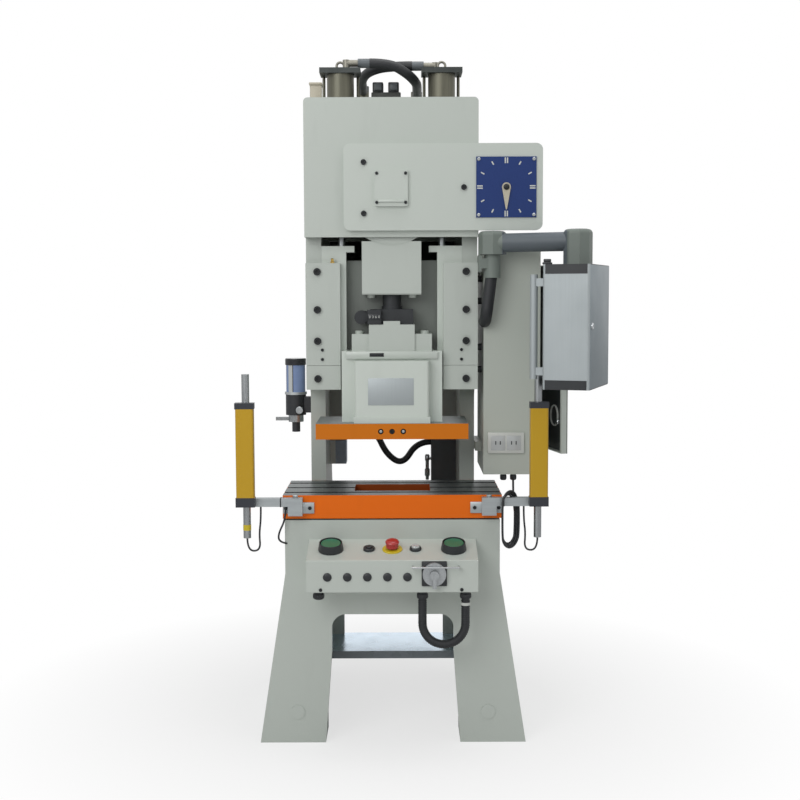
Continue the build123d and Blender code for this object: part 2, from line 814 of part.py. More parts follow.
# Air elbows: one on each cylinder head, one for each hose at the back of the crown
head_top = cylinder_top_z + cylinder_head_t
elbow_z = head_top + elbow_rise
upper_hose_z = frame_top_z + upper_hose_rise
lower_hose_z = frame_top_z + lower_hose_rise
with BuildPart() as air_fittings:
    for side in (-1, 1):
        x = -side * cylinder_x
        y = cylinder_y - side * elbow_offset_y
        rod_z(x + side * 20, y, elbow_pipe_r, (head_top, elbow_z + elbow_pipe_r))
        rod_x(y, elbow_z, elbow_pipe_r, (x + side * 20, x + side * 58))
        rod_x(y, elbow_z, sleeve_r, (x + side * 58, x + side * sleeve_reach))
    for x, z in ((upper_hose_x, upper_hose_z), (lower_hose_x, lower_hose_z)):
        rod_z(x, crown_elbow_y, crown_elbow_r, (frame_top_z, z + crown_elbow_r))
        rod_y(x, z, sleeve_r, (crown_elbow_y - crown_elbow_reach, crown_elbow_y))
save_group([balance_cylinders.part, air_fittings.part], "balance_cylinders")

# Flywheel with its hub, web and rim, and the pulley of the motor
fly_back_y = flywheel_y + flywheel_t
with BuildPart() as flywheel:
    rod_y(0, crank_z, flywheel_r, (flywheel_y, fly_back_y))
    web_r = flywheel_r - flywheel_rim
    rod_y(0, crank_z, web_r, (flywheel_y, flywheel_y + flywheel_recess), Mode.SUBTRACT)
    rod_y(0, crank_z, web_r, (fly_back_y - flywheel_recess, fly_back_y), Mode.SUBTRACT)
    rod_y(0, crank_z, hub_r, (flywheel_y, fly_back_y))
    rod_y(0, crank_z, journal_r + fit_gap, (flywheel_y, fly_back_y), Mode.SUBTRACT)
save(flywheel.part, "flywheel")

belt_y = (flywheel_y + 15, fly_back_y - 15)
shaft_r = 14
with BuildPart() as motor_pulley:
    rod_y(0, motor_z, pulley_r, belt_y)
    rod_y(0, motor_z, pulley_r + 5, (belt_y[0] - 6, belt_y[0]))
    rod_y(0, motor_z, pulley_r + 5, (belt_y[1], belt_y[1] + 6))
    rod_y(0, motor_z, shaft_r + fit_gap, (belt_y[0] - 6, belt_y[1] + 6), Mode.SUBTRACT)
save(motor_pulley.part, "motor_pulley")

with BuildPart() as v_belts:
    for step in range(3):
        y = belt_y[0] + 3 + step * 19
        with BuildSketch(Plane.XZ.offset(-y)):
            with Locations((0, crank_z)):
                Circle(flywheel_r + 9)
            with Locations((0, motor_z)):
                Circle(pulley_r + 9)
            make_hull()
        extrude(amount=-14)
        with BuildSketch(Plane.XZ.offset(-y)):
            with Locations((0, crank_z)):
                Circle(flywheel_r + slide_gap)
            with Locations((0, motor_z)):
                Circle(pulley_r + slide_gap)
            make_hull()
        extrude(amount=-14, mode=Mode.SUBTRACT)
save(v_belts.part, "v_belts")

# Motor between the columns, on a shelf behind the slide
with BuildPart() as drive_motor:
    foot_y = (motor_y[0] + 10, motor_y[1] - 10)
    foot_z = motor_z - motor_r - 14
    block((-side_in, side_in), (motor_y[0] - 10, column_rear_y), (foot_z - 16, foot_z))
    block((-75, 75), foot_y, (foot_z, foot_z + 34))
    rod_y(0, motor_z, motor_r, motor_y)
    rod_y(0, motor_z, motor_r - 8, (motor_y[0] - 28, motor_y[0]))
    rod_y(0, motor_z, shaft_r, (motor_y[1], belt_y[1] + 6))
save(drive_motor.part, "drive_motor")

# Guard: pan over the flywheel, belts and pulley, open to the frame
guard_clear = 22
guard_t = 3
with BuildPart() as flywheel_guard:
    for extra, depth, mode in (
        (guard_clear, fly_back_y + 25 - column_rear_y, Mode.ADD),
        (guard_clear - guard_t, fly_back_y + 25 - guard_t - column_rear_y, Mode.SUBTRACT),
    ):
        with BuildSketch(Plane.XZ.offset(-column_rear_y)):
            with Locations((0, crank_z)):
                Circle(flywheel_r + extra)
            with Locations((0, motor_z)):
                Circle(pulley_r + extra + 40)
            make_hull()
        extrude(amount=-depth, mode=mode)
save(flywheel_guard.part, "flywheel_guard")

# Console: folded box with a sloping top
console_tilt = degrees(atan2(console_rear_z - console_lip_z, front_y - console_front_y))
top_mid_y = (console_front_y + front_y) / 2
top_mid_z = (console_lip_z + console_rear_z) / 2
console_top = Plane(
    origin=(0, top_mid_y, top_mid_z),
    x_dir=(1, 0, 0),
    z_dir=(0, -sin(radians(console_tilt)), cos(radians(console_tilt))),
)
console_face = Plane(origin=(0, console_front_y, 0), x_dir=(1, 0, 0), z_dir=(0, -1, 0))
with BuildPart() as console_box:
    with BuildSketch(Plane.YZ.offset(-console_half)):
        with BuildLine():
            Polyline(
                (front_y, console_low_z),
                (console_front_y, console_low_z),
                (console_front_y, console_lip_z),
                (front_y, console_rear_z),
                close=True,
            )
        make_face()
    extrude(amount=2 * console_half)
    fillet(edges().filter_by(Axis.X).group_by(Axis.Y)[0], 3)
    with BuildSketch(console_top):
        with Locations((-palm_x, 0), (palm_x, 0)):
            Circle(12)
        with Locations((0, 0), (-bezel_x, 0)):
            Circle(9)
    extrude(amount=-40, mode=Mode.SUBTRACT)
    with BuildSketch(console_face):
        with Locations((key_x, key_z)):
            Circle(14)
    extrude(amount=-30, mode=Mode.SUBTRACT)
save(console_box.part, "console_box")

with BuildPart() as palm_guards:
    with BuildSketch(console_top):
        with Locations((-palm_x, 0), (palm_x, 0)):
            Circle(guard_r)
            Circle(palm_r + 2, mode=Mode.SUBTRACT)
    extrude(amount=guard_h)
    with BuildSketch(console_top):
        with Locations((-palm_x, 0), (palm_x, 0)):
            Circle(guard_r)
            Circle(12 + fit_gap, mode=Mode.SUBTRACT)
    extrude(amount=6)


def console_button(x, head_r, head_low, head_high, stem_r):
    """A push button on the sloping top: head above, stem through the panel."""
    with BuildPart() as button:
        with BuildSketch(console_top.offset(head_low)):
            with Locations((x, 0)):
                Circle(head_r)
        extrude(amount=head_high - head_low)
        fillet(faces().sort_by(Axis(console_top.origin, console_top.z_dir))[-1].edges(), 2)
        with BuildSketch(console_top.offset(head_low)):
            with Locations((x, 0)):
                Circle(stem_r)
        extrude(amount=-20 - head_low)
    return button.part


save(console_button(-palm_x, palm_r, 6 + palm_travel + 1, palm_h, 12 - fit_gap), "palm_button_left")
save(console_button(palm_x, palm_r, 6 + palm_travel + 1, palm_h, 12 - fit_gap), "palm_button_right")
save(console_button(0, stop_r, 4 + stop_travel + 1, 30, 9 - fit_gap), "stop_button")
save(console_button(-bezel_x, push_r, 8.5, 13, 8), "push_button")

# Bezels, yellow disc, blanking plugs and the plate of the key selector
with BuildPart() as console_plugs:
    with BuildSketch(console_top):
        with Locations((0, 0)):
            Circle(stop_disc_r)
            Circle(9 + fit_gap, mode=Mode.SUBTRACT)
    extrude(amount=4)
    with BuildSketch(console_top):
        with Locations((-bezel_x, 0)):
            Circle(bezel_r)
            Circle(push_r + 1, mode=Mode.SUBTRACT)
        with Locations((bezel_x, 0)):
            Circle(bezel_r)
    extrude(amount=8)
    with BuildSketch(console_face):
        for step in range(5):
            with Locations((-201 + step * hole_plug_pitch, 577)):
                Circle(hole_plug_r)
    extrude(amount=5)

with BuildPart() as selector_plate:
    with BuildSketch(console_face):
        with Locations((key_x, key_z)):
            Rectangle(key_plate_w, key_plate_w)
            Circle(14 + fit_gap, mode=Mode.SUBTRACT)
    extrude(amount=6)
save_group([palm_guards.part, console_plugs.part, selector_plate.part], "console_fittings")

with BuildPart() as selector_knob:
    with BuildSketch(console_face.offset(6 + slide_gap)):
        with Locations((key_x, key_z)):
            Circle(key_disc_r)
    extrude(amount=12)
    with BuildSketch(console_face.offset(18)):
        with Locations((key_x, key_z)):
            Circle(14)
    extrude(amount=16)
    with BuildSketch(console_face.offset(20)):
        with Locations((key_x, key_z - 20)):
            Rectangle(12, 44)
    extrude(amount=10)
    rod_y(key_x, key_z, 14 - fit_gap, (console_front_y - 8, console_front_y + 25))
save(selector_knob.part, "selector_knob")

# Glands under the console and the cabinet, and the U-shaped conduit between two of them
with BuildPart() as cable_glands:
    for x in (spare_gland_x, *conduit_x):
        rod_z(x, conduit_y, 19, (console_low_z - 30, console_low_z - 14))
        rod_z(x, conduit_y, 15, (console_low_z - 14, console_low_z))
    for x in gland_x:
        rod_z(x, gland_y, 11, (cabinet_low_z - 24, cabinet_low_z))
save(cable_glands.part, "cable_glands")

conduit_top = console_low_z - 30
bend_r = (conduit_x[1] - conduit_x[0]) / 2
bend_z = console_low_z - conduit_drop + bend_r
with BuildPart() as u_conduit:
    with BuildLine() as u_path:
        Line((conduit_x[0], conduit_y, conduit_top), (conduit_x[0], conduit_y, bend_z))
        ThreePointArc(
            (conduit_x[0], conduit_y, bend_z),
            (conduit_x[0] + bend_r, conduit_y, bend_z - bend_r),
            (conduit_x[1], conduit_y, bend_z),
        )
        Line((conduit_x[1], conduit_y, bend_z), (conduit_x[1], conduit_y, conduit_top))
    with BuildSketch(Plane(origin=u_path.line @ 0, z_dir=u_path.line % 0)):
        Circle(conduit_r)
    sweep()
save(u_conduit.part, "u_conduit")

# Light curtains, mirrored left and right
post_y = bolster_front_y - clamp_plate_t - arm_d / 2
with BuildPart() as curtain_posts:
    rod_z(-curtain_x, post_y, post_r, (post_low_z, post_high_z))
    mirror(about=Plane.YZ)
save(curtain_posts.part, "curtain_posts")

curtain_front_y = post_y - post_r - slide_gap - curtain_d
with BuildPart() as light_curtains:
    ends = (curtain_front_y, curtain_front_y + curtain_d)
    body = (-curtain_x - curtain_w / 2, -curtain_x + curtain_w / 2)
    block(body, ends, (curtain_low_z, curtain_high_z))
    fillet(edges().filter_by(Axis.Z).group_by(Axis.Y)[0], 6)
    mirror(about=Plane.YZ)

with BuildPart() as curtain_caps:
    caps = (body[0] - 2, body[1] + 2)
    block(caps, ends, (curtain_low_z - cap_low_h, curtain_low_z))
    block(caps, ends, (curtain_high_z, curtain_high_z + cap_high_h))
    mirror(about=Plane.YZ)
save_group([light_curtains.part, curtain_caps.part], "light_curtains")

arm_y = (post_y - arm_d / 2, post_y + arm_d / 2)
arm_top_z = arm_z + arm_h
with BuildPart() as curtain_arms:
    block((-curtain_x - post_r - 8, -arm_in), arm_y, (arm_z, arm_top_z))
    rod_z(-curtain_x, post_y, post_r + fit_gap, (arm_z, arm_top_z), Mode.SUBTRACT)
    mirror(about=Plane.YZ)

with BuildPart() as curtain_clamps:
    clamp_x = (-arm_in - clamp_w, -arm_in)
    block(clamp_x, (arm_y[0], bolster_front_y), (clamp_low_z, arm_z))
    block(clamp_x, (arm_y[1], bolster_front_y), (arm_z, arm_top_z))
    mirror(about=Plane.YZ)
save_group([curtain_arms.part, curtain_clamps.part], "curtain_arms")

# Hinge axis of the cabinet door, with a knuckle near each end
hinge_x = cabinet_right + hinge_r + door_gap
hinge_y = cabinet_rear_y - 12
hinge_places = (door_low_z + hinge_inset, door_high_z - hinge_inset)

# Electric cabinet: box open on its right side, with a door hinged at the rear
with BuildPart() as cabinet:
    cab_x = (cabinet_left, cabinet_right)
    cab_y = (cabinet_front_y, cabinet_rear_y)
    block(cab_x, cab_y, (cabinet_low_z, cabinet_high_z))
    inner_y = (cabinet_front_y + cabinet_wall, cabinet_rear_y - cabinet_wall)
    block(
        (cabinet_left + cabinet_wall, cabinet_right - cabinet_wall),
        inner_y,
        (cabinet_low_z + cabinet_wall, cabinet_high_z - cabinet_wall),
        Mode.SUBTRACT,
    )
    block(
        (cabinet_right - 2 * cabinet_wall, cabinet_right),
        (cabinet_front_y + 20, cabinet_rear_y - 20),
        (door_low_z + 10, door_high_z - 10),
        Mode.SUBTRACT,
    )
    bracket_y = (cabinet_front_y + 110, cabinet_rear_y - 20)
    for z in (cabinet_low_z + bracket_inset, cabinet_high_z - bracket_inset):
        block((half, cabinet_left), bracket_y, (z - bracket_h / 2, z + bracket_h / 2))
    for z in hinge_places:
        for low in (z - hinge_h, z + hinge_h / 2):
            knuckle_z = (low + slide_gap, low + hinge_h / 2 - slide_gap)
            block((cabinet_right, hinge_x), (hinge_y - 3, hinge_y + 3), knuckle_z)
            rod_z(hinge_x, hinge_y, hinge_r, knuckle_z)
        rod_z(hinge_x, hinge_y, hinge_pin_r, (z - hinge_h / 2 - 1, z + hinge_h / 2 + 1))

with BuildPart() as socket_plate:
    socket_x = (cabinet_left + socket_inset, cabinet_left + socket_inset + socket_w)
    socket_z = (cabinet_low_z + socket_rise, cabinet_low_z + socket_rise + socket_h)
    block(socket_x, (cabinet_front_y - socket_t, cabinet_front_y), socket_z)
    fillet(edges().filter_by(Axis.Y), 6)
save_group([cabinet.part, socket_plate.part], "cabinet")

door_plane = Plane(
    origin=(hinge_x, hinge_y, door_low_z),
    x_dir=(sin(radians(door_ajar)), -cos(radians(door_ajar)), 0),
    z_dir=(0, 0, 1),
)
with BuildPart() as cabinet_door:
    with BuildSketch(door_plane):
        with Locations((door_l / 2 + hinge_r + 2, door_t / 2 - hinge_r)):
            Rectangle(door_l, door_t)
    extrude(amount=door_high_z - door_low_z)
    with BuildSketch(door_plane.offset(3)):
        with Locations((door_l / 2 + hinge_r + 2, (door_t - 3) / 2 - hinge_r)):
            Rectangle(door_l - 24, door_t - 3)
    extrude(amount=door_high_z - door_low_z - 6, mode=Mode.SUBTRACT)
    for z in hinge_places:
        with BuildSketch(door_plane.offset(z - hinge_h / 2 - door_low_z)):
            Circle(hinge_r)
            with Locations(((hinge_r + 4) / 2, 0)):
                Rectangle(hinge_r + 4, 5)
            Circle(hinge_pin_r + fit_gap, mode=Mode.SUBTRACT)
        extrude(amount=hinge_h)
save(cabinet_door.part, "cabinet_door")

# Pendant: elbow bracket on the head, swinging arm, box with its handle
collar_top_z = 1574
with BuildPart() as arm_bracket:
    block((half, half + 8), (pendant_arm_y - 20, -190), (1520, 1572))
    block((half, pendant_arm_x), (pendant_arm_y - 20, pendant_arm_y + 20), (1530, 1562))
    rod_z(pendant_arm_x, pendant_arm_y, 26, (1500, collar_top_z))
    rod_z(pendant_arm_x, pendant_arm_y, pivot_pin_r, (collar_top_z, collar_top_z + 30))
save(arm_bracket.part, "arm_bracket")

arm_dx = pendant_x - pendant_arm_x
arm_dy = pendant_y - pendant_arm_y
arm_yaw = degrees(atan2(arm_dy, arm_dx))
arm_l = (arm_dx**2 + arm_dy**2) ** 0.5
arm_plane = Plane(
    origin=(pendant_arm_x, pendant_arm_y, 0),
    x_dir=(cos(radians(arm_yaw)), sin(radians(arm_yaw)), 0),
    z_dir=(0, 0, 1),
)
arm_origin = (pendant_arm_x, pendant_arm_y, pendant_arm_z)
with BuildPart() as pendant_arm:
    for along, low_z in ((0, collar_top_z + slide_gap), (arm_l, pendant_high_z + slide_gap)):
        with BuildSketch(arm_plane.offset(low_z)):
            with Locations((along, 0)):
                RegularPolygon(elbow_r, 8, major_radius=False, rotation=22.5)
        extrude(amount=pendant_arm_z + elbow_r - 4 - low_z)
    fillet(faces().group_by(Axis.Z)[-1].edges(), 14)
    with BuildSketch(Plane(origin=arm_origin, z_dir=arm_plane.x_dir)):
        Circle(arm_tube_r)
    extrude(amount=arm_l)
    pin_z = (collar_top_z, collar_top_z + 30 + slide_gap)
    rod_z(pendant_arm_x, pendant_arm_y, pivot_pin_r + fit_gap, pin_z, Mode.SUBTRACT)
save(pendant_arm.part, "pendant_arm")

pendant_plane = Plane(
    origin=(pendant_x, pendant_y, pendant_low_z),
    x_dir=(cos(radians(pendant_yaw)), sin(radians(pendant_yaw)), 0),
    z_dir=(0, 0, 1),
)
pendant_h = pendant_high_z - pendant_low_z
with BuildPart() as pendant_box:
    with BuildSketch(pendant_plane):
        with Locations((0, -pendant_shift)):
            RectangleRounded(pendant_w, pendant_l, 8)
    extrude(amount=pendant_h)

handle_x = -pendant_w / 2 - 34
handle_y = -pendant_shift - pendant_l / 2 + 30
with BuildPart() as pendant_handle:
    with BuildSketch(pendant_plane.offset(30)):
        with Locations((handle_x, handle_y)):
            Circle(handle_r)
    extrude(amount=pendant_h - 60)
    for z in (42, pendant_h - 66):
        with BuildSketch(pendant_plane.offset(z)):
            with Locations((-pendant_w / 2 - 17, handle_y)):
                Rectangle(34, 16)
        extrude(amount=24)
save_group([pendant_box.part, pendant_handle.part], "pendant_box")

# Lubricator on the left side plate: pump body, clear tank and hand lever
with BuildPart() as lubricator_pump:
    rod_z(lube_x, lube_y, lube_r, (lube_low_z, lube_flange_z))
    rod_z(lube_x, lube_y, lube_r + 3, (lube_flange_z, lube_tank_z))
    block((lube_x, -half), (lube_y - 18, lube_y + 18), (lube_low_z + 8, lube_flange_z - 8))
    rod_y(lube_x + 16, lube_low_z + 19, 12, (lube_y - 46, lube_y))
    rod_z(lube_x, lube_y, lube_stem_r, (lube_low_z - lube_stem_l, lube_low_z))
save(lubricator_pump.part, "lubricator_pump")

with BuildPart() as lubricator_tank:
    rod_z(lube_x, lube_y, lube_r - 2, (lube_tank_z, lube_cap_z))
    rod_z(lube_x, lube_y, lube_r - 5, (lube_tank_z + 3, lube_cap_z), Mode.SUBTRACT)

with BuildPart() as lubricator_cap:
    rod_z(lube_x, lube_y, lube_r + 1, (lube_cap_z, lube_top_z))
    fillet(faces().sort_by(Axis.Z)[-1].edges(), 3)
save_group([lubricator_tank.part, lubricator_cap.part], "lubricator_tank")

with BuildPart() as lubricator_lever:
    lever_low_z = lube_low_z - lever_h
    rod_z(lube_x, lube_y, lever_r, (lever_low_z, lube_low_z - slide_gap))
    rod_z(lube_x, lube_y, lube_stem_r + fit_gap, (lever_low_z, lube_low_z), Mode.SUBTRACT)
    block((lube_x - 70, lube_x - 20), (lube_y - 6, lube_y + 6), (lever_low_z + 4, lever_low_z + 16))
save(lubricator_lever.part, "lubricator_lever")

# Boxes behind the throat
with BuildPart() as throat_boxes:
    box_y = (throat_box_y, column_rear_y - 10)
    block((-side_in, -left_box_in), box_y, (left_box_low_z, throat_box_top_z))
    block((right_box_in, side_in), box_y, (bed_top_z, throat_box_top_z))
save(throat_boxes.part, "throat_boxes")

# Air hoses: one hangs between the boxes, two cross from the cylinder heads to the back of the crown
rear_hose = [
    (-left_box_in, 245, 985),
    (-120, 245, 985),
    (-70, 245, 935),
    (-15, 245, 868),
    (45, 245, 845),
    (92, 245, 905),
    (right_box_in, 245, 905),
]
hose_start = cylinder_x - sleeve_reach
hose_end_y = crown_elbow_y - crown_elbow_reach
upper_hose = [
    (hose_start, cylinder_y + elbow_offset_y, elbow_z),
    (-10, cylinder_y + elbow_offset_y, elbow_z),
    (-75, -125, elbow_z - 8),
    (upper_hose_x, -50, elbow_z - 22),
    (upper_hose_x, 30, upper_hose_z),
    (upper_hose_x, hose_end_y, upper_hose_z),
]
lower_hose = [
    (-hose_start, cylinder_y - elbow_offset_y, elbow_z),
    (0, cylinder_y - elbow_offset_y, elbow_z),
    (58, -200, elbow_z - 32),
    (84, -140, elbow_z - 49),
    (87, -55, elbow_z - 51),
    (lower_hose_x, 30, lower_hose_z),
    (lower_hose_x, hose_end_y, lower_hose_z),
]
rear_tube = tube(rear_hose, hose_r, "rear hose")
upper_tube = tube(upper_hose, top_hose_r, "upper hose")
lower_tube = tube(lower_hose, top_hose_r, "lower hose")
save_group([rear_tube, upper_tube, lower_tube], "air_hoses")

# Cables of the light curtains
post_end = [
    (-curtain_x, post_y, post_low_z),
    (-curtain_x, post_y, post_low_z - 42),
    (-curtain_x + 42, post_y, post_low_z - 42),
    (-curtain_x + 38, post_y, post_low_z + 14),
    (-curtain_x + 44, post_y, post_low_z + 58),
    (-curtain_x + 44, post_y, arm_z),
]
save(tube(post_end, cable_r, "left post cable"), "left_post_cable")
save(tube([(-x, y, z) for x, y, z in post_end], cable_r, "right post cable"), "right_post_cable")

# Cable from the left arm down into the front of the base
arm_cable = [
    (-arm_in - clamp_w - 8, post_y, arm_z),
    (-arm_in - clamp_w - 8, post_y, 738),
    (-364, post_y - 2, 688),
    (-360, post_y + 2, 662),
    (-338, front_y, 655),
]
save(tube(arm_cable, cable_r, "left arm cable"), "left_arm_cable")

# Cable from the cabinet to the spare length that hangs in a hank over the right arm
cabinet_cable = [
    (gland_x[1], gland_y, cabinet_low_z - 24),
    (gland_x[1], gland_y, 785),
    (404, -250, 735),
    (402, -305, 722),
    (398, -358, 748),
    (396.4, post_y + 34, 775),
]
save(tube(cabinet_cable, cabinet_cable_r, "cabinet cable"), "cabinet_cable")

with BuildPart() as cable_hank:
    hank_top_z = arm_top_z + hank_rise + hank_r
    hank_yaw = radians(hank_turn)
    hank_plane = Plane(
        origin=(hank_x, post_y, 0),
        x_dir=(cos(hank_yaw), sin(hank_yaw), 0),
        z_dir=(sin(hank_yaw), -cos(hank_yaw), 0),
    )
    with BuildLine(hank_plane) as hank_path:
        high = hank_top_z - hank_w / 2
        low = hank_low_z + hank_w / 2
        Line((-hank_w / 2, low), (-hank_w / 2, high))
        ThreePointArc((-hank_w / 2, high), (0, hank_top_z), (hank_w / 2, high))
        Line((hank_w / 2, high), (hank_w / 2, low))
        ThreePointArc((hank_w / 2, low), (0, hank_low_z), (-hank_w / 2, low))
    with BuildSketch(Plane(origin=hank_path.line @ 0, z_dir=hank_path.line % 0)):
        Circle(hank_r)
    sweep()
save(cable_hank.part, "cable_hank")
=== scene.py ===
# %% [markdown]
# # A stamping press, dressed
# The CAD model gives every plate, shaft and casting its size and place. This notebook loads it, and
# then gives each surface the finish of the real machine: cream paint, ground steel, orange edges,
# black hoses. Small fittings that only the eye needs are modelled here, each on the part that carries it.

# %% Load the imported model
from math import cos, pi, radians, sin

import bpy
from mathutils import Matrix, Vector


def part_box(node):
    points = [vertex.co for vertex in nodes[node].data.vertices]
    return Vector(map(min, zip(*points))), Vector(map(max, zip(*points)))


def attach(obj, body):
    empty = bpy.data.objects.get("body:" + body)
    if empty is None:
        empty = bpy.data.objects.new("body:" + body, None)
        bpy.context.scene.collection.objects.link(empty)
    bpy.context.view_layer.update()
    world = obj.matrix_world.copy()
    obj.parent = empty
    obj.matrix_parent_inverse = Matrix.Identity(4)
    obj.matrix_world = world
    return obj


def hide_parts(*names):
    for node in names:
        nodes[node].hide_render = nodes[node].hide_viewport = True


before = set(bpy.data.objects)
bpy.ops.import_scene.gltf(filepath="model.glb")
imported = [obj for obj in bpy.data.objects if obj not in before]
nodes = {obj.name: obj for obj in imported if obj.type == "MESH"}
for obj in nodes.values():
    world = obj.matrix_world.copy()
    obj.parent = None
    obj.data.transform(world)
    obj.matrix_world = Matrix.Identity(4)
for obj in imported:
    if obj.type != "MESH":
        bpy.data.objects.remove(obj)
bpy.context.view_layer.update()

bpy.ops.object.select_all(action="DESELECT")

# %% [markdown]
# ## The camera
# The photograph was taken from in front, a little to the right of the middle and at chest height,
# looking slightly down. A camera looks along its own -Z, so a turn of 90 degrees about X makes it look
# along +Y, and a few degrees less tilts it down. The photographer held it a hair off level.

# %% Camera
CAMERA_AT, TILT_UP, OFF_LEVEL, LENS_MM = (0.027, -4.35, 1.446), 85.2, 0.2, 56.25
bpy.ops.object.camera_add(location=CAMERA_AT, rotation=(radians(TILT_UP), radians(OFF_LEVEL), 0))
camera = bpy.context.object
camera.data.sensor_width = 36
camera.data.lens = LENS_MM
bpy.context.scene.camera = camera
print("camera at", CAMERA_AT, "lens", LENS_MM, "mm")

# %% [markdown]
# ## Shader maths as plain Python
# A material is a graph of nodes. Written out link by link it is long and hard to read, so a small class
# wraps one output socket and lets + - * < > build the Math nodes. A second class holds one material and
# adds any other node: its settings first, then the values or links of its sockets.


# %% Sockets and shaders
def math_node(operation):
    """The method behind one of Python's operators."""
    return lambda wire, other: wire.shader.maths(operation, wire, other)


class Wire:
    """An output socket whose sums, products and comparisons become Math nodes."""

    def __init__(self, shader, socket):
        self.shader, self.socket = shader, socket

    def __rsub__(self, other):
        return self.shader.maths("SUBTRACT", other, self)

    def __abs__(self):
        return self.shader.maths("ABSOLUTE", self)

    __add__ = __radd__ = math_node("ADD")
    __mul__ = __rmul__ = math_node("MULTIPLY")
    __sub__ = math_node("SUBTRACT")
    __gt__, __lt__ = math_node("GREATER_THAN"), math_node("LESS_THAN")


class Shader:
    """One material or surround, and the node graph behind it."""

    def __init__(self, name, kept_in=bpy.data.materials, end="OutputMaterial"):
        self.data, self.end = kept_in.new(name), end
        self.data.use_nodes = True
        self.tree = self.data.node_tree
        self.tree.nodes.clear()
        self.at = self.node("TexCoord", out="Object")
        self.x, self.y, self.z = (self.node("SeparateXYZ", None, {0: self.at}, out=axis) for axis in "XYZ")

    def node(self, kind, settings=None, inputs=None, out=0):
        made = self.tree.nodes.new("ShaderNode" + kind)
        for key, value in (settings or {}).items():
            setattr(made, key, value)
        for key, value in (inputs or {}).items():
            if isinstance(value, Wire):
                self.tree.links.new(value.socket, made.inputs[key])
            else:
                made.inputs[key].default_value = value
        return Wire(self, made.outputs[out])

    def maths(self, operation, *values):
        return self.node("Math", {"operation": operation}, dict(enumerate(values)))

    def clamp(self, value):
        return self.node("Clamp", None, {"Value": value})

    def mix(self, factor, first, second):
        """Blends two colours."""
        return self.node("Mix", {"data_type": "RGBA"}, {0: factor, 6: first, 7: second}, out=2)

    def noise(self, scale, detail=2, stretch=(1, 1, 1)):
        """Cloudy noise from 0 to 1, drawn out along an axis where stretch is small."""
        where = self.node("Mapping", None, {"Vector": self.at, "Scale": stretch})
        return self.node("TexNoise", None, {"Vector": where, "Scale": scale, "Detail": detail})

    def spread(self, value, low, high):
        """Stretches the part of a value between low and high to 0 and 1."""
        return self.node("MapRange", None, {"Value": value, "From Min": low, "From Max": high})

    def facing(self, axis):
        """How far the surface faces along an axis, from -1 to 1."""
        return self.node("SeparateXYZ", None, {0: self.node("NewGeometry", out="Normal")}, out=axis)

    def surface(self, colour, roughness, metallic=0.0, height=None, depth=0.0005, **fixed):
        """The shader of an opaque surface, with a height that roughens its skin."""
        inputs = {"Base Color": colour, "Roughness": roughness, "Metallic": metallic}
        if height is not None:
            bump = {"Height": height, "Distance": depth, "Strength": 1.0}
            inputs["Normal"] = self.node("Bump", None, bump)
        inputs.update({key.replace("_", " "): value for key, value in fixed.items()})
        shaded = self.node("BsdfPrincipled", None, inputs)
        self.output(shaded)
        return self.data

    def output(self, shaded):
        end = self.tree.nodes.new("ShaderNode" + self.end)
        self.tree.links.new(shaded.socket, end.inputs["Surface"])


def tone(*levels):
    """Red, green and blue from 0 to 255, as a picture editor shows them, made linear for the renderer."""
    return tuple(((c / 255 + 0.055) / 1.055) ** 2.4 if c > 10 else c / 3294 for c in levels) + (1,)


def shade(colour, times):
    """The same colour, lighter or darker."""
    return tuple(min(1, c * times) for c in colour[:3]) + (1,)


print("middle grey made linear is", round(tone(128, 128, 128)[0], 3))


# %% [markdown]
# ## Paint
# The machine is sprayed in a light cream enamel. Sprayed enamel is never quite even: it has a fine
# orange-peel skin, slow changes of shade where the coat is thicker, and grey handling marks. Three
# noises of very different size give those three things, and they only nudge one written colour.

# %% Paint finishes
CREAM = tone(194, 201, 194)
CABINET = tone(189, 195, 186)
ORANGE = tone(242, 112, 2)


def paint_colour(shader, colour, drift=0.05, dirt=0.10):
    """Enamel colour with slow drift and faint grey marks that run down."""
    broad = shader.noise(2.2, 3)
    base = shader.mix(broad, shade(colour, 1 - drift), shade(colour, 1 + drift))
    marks = shader.spread(shader.noise(9, 6, (1.4, 1.4, 0.35)), 0.58, 0.78)
    return shader.mix(marks * dirt, base, shade(colour, 0.45))


def sprayed(shader, colour, roughness=0.36, coat=0.25, metallic=0.0):
    """Closes a paint shader: sprayed skin, uneven sheen and a thin clear coat."""
    peel = shader.noise(330, 2)
    rough = shader.noise(18, 4) * 0.16 + (roughness - 0.08)
    return shader.surface(colour, rough, metallic, height=peel, depth=0.00012,
                          Coat_Weight=coat, Coat_Roughness=0.18)


def enamel(name, colour, roughness=0.36, drift=0.05, dirt=0.10, coat=0.25):
    """A sprayed finish of one colour."""
    shader = Shader(name)
    return sprayed(shader, paint_colour(shader, colour, drift, dirt), roughness, coat)


cream = enamel("cream_enamel", CREAM)
cover_cream = enamel("cover_enamel", shade(CREAM, 1.08), 0.34, 0.03, 0.05)
# Painted light: the console's enamel is the frame's cream made lighter.
console_cream_painted_light = enamel("console_enamel_painted_light", shade(CREAM, 1.05), 0.4, 0.04, 0.1)
cabinet_paint = enamel("cabinet_enamel", CABINET, 0.42, 0.03, 0.08, 0.1)
motor_grey = enamel("motor_grey", tone(84, 90, 94), 0.45, 0.08, 0.2, 0.1)
elbow_grey = enamel("elbow_grey", tone(118, 127, 121), 0.5, 0.04, 0.1, 0.0)
pointer_beige = enamel("pointer_beige", tone(196, 189, 170), 0.45, 0.04, 0.1, 0.0)
print("cream written as", [round(c, 3) for c in CREAM[:3]])

# %% [markdown]
# ## Metal
# Ground and brushed steel are one metal with different scratches. A noise stretched hard along one axis
# looks like the marks of a grinding wheel: it changes the shade a little and the roughness more, because
# what the eye reads as brushed is the broken reflection.


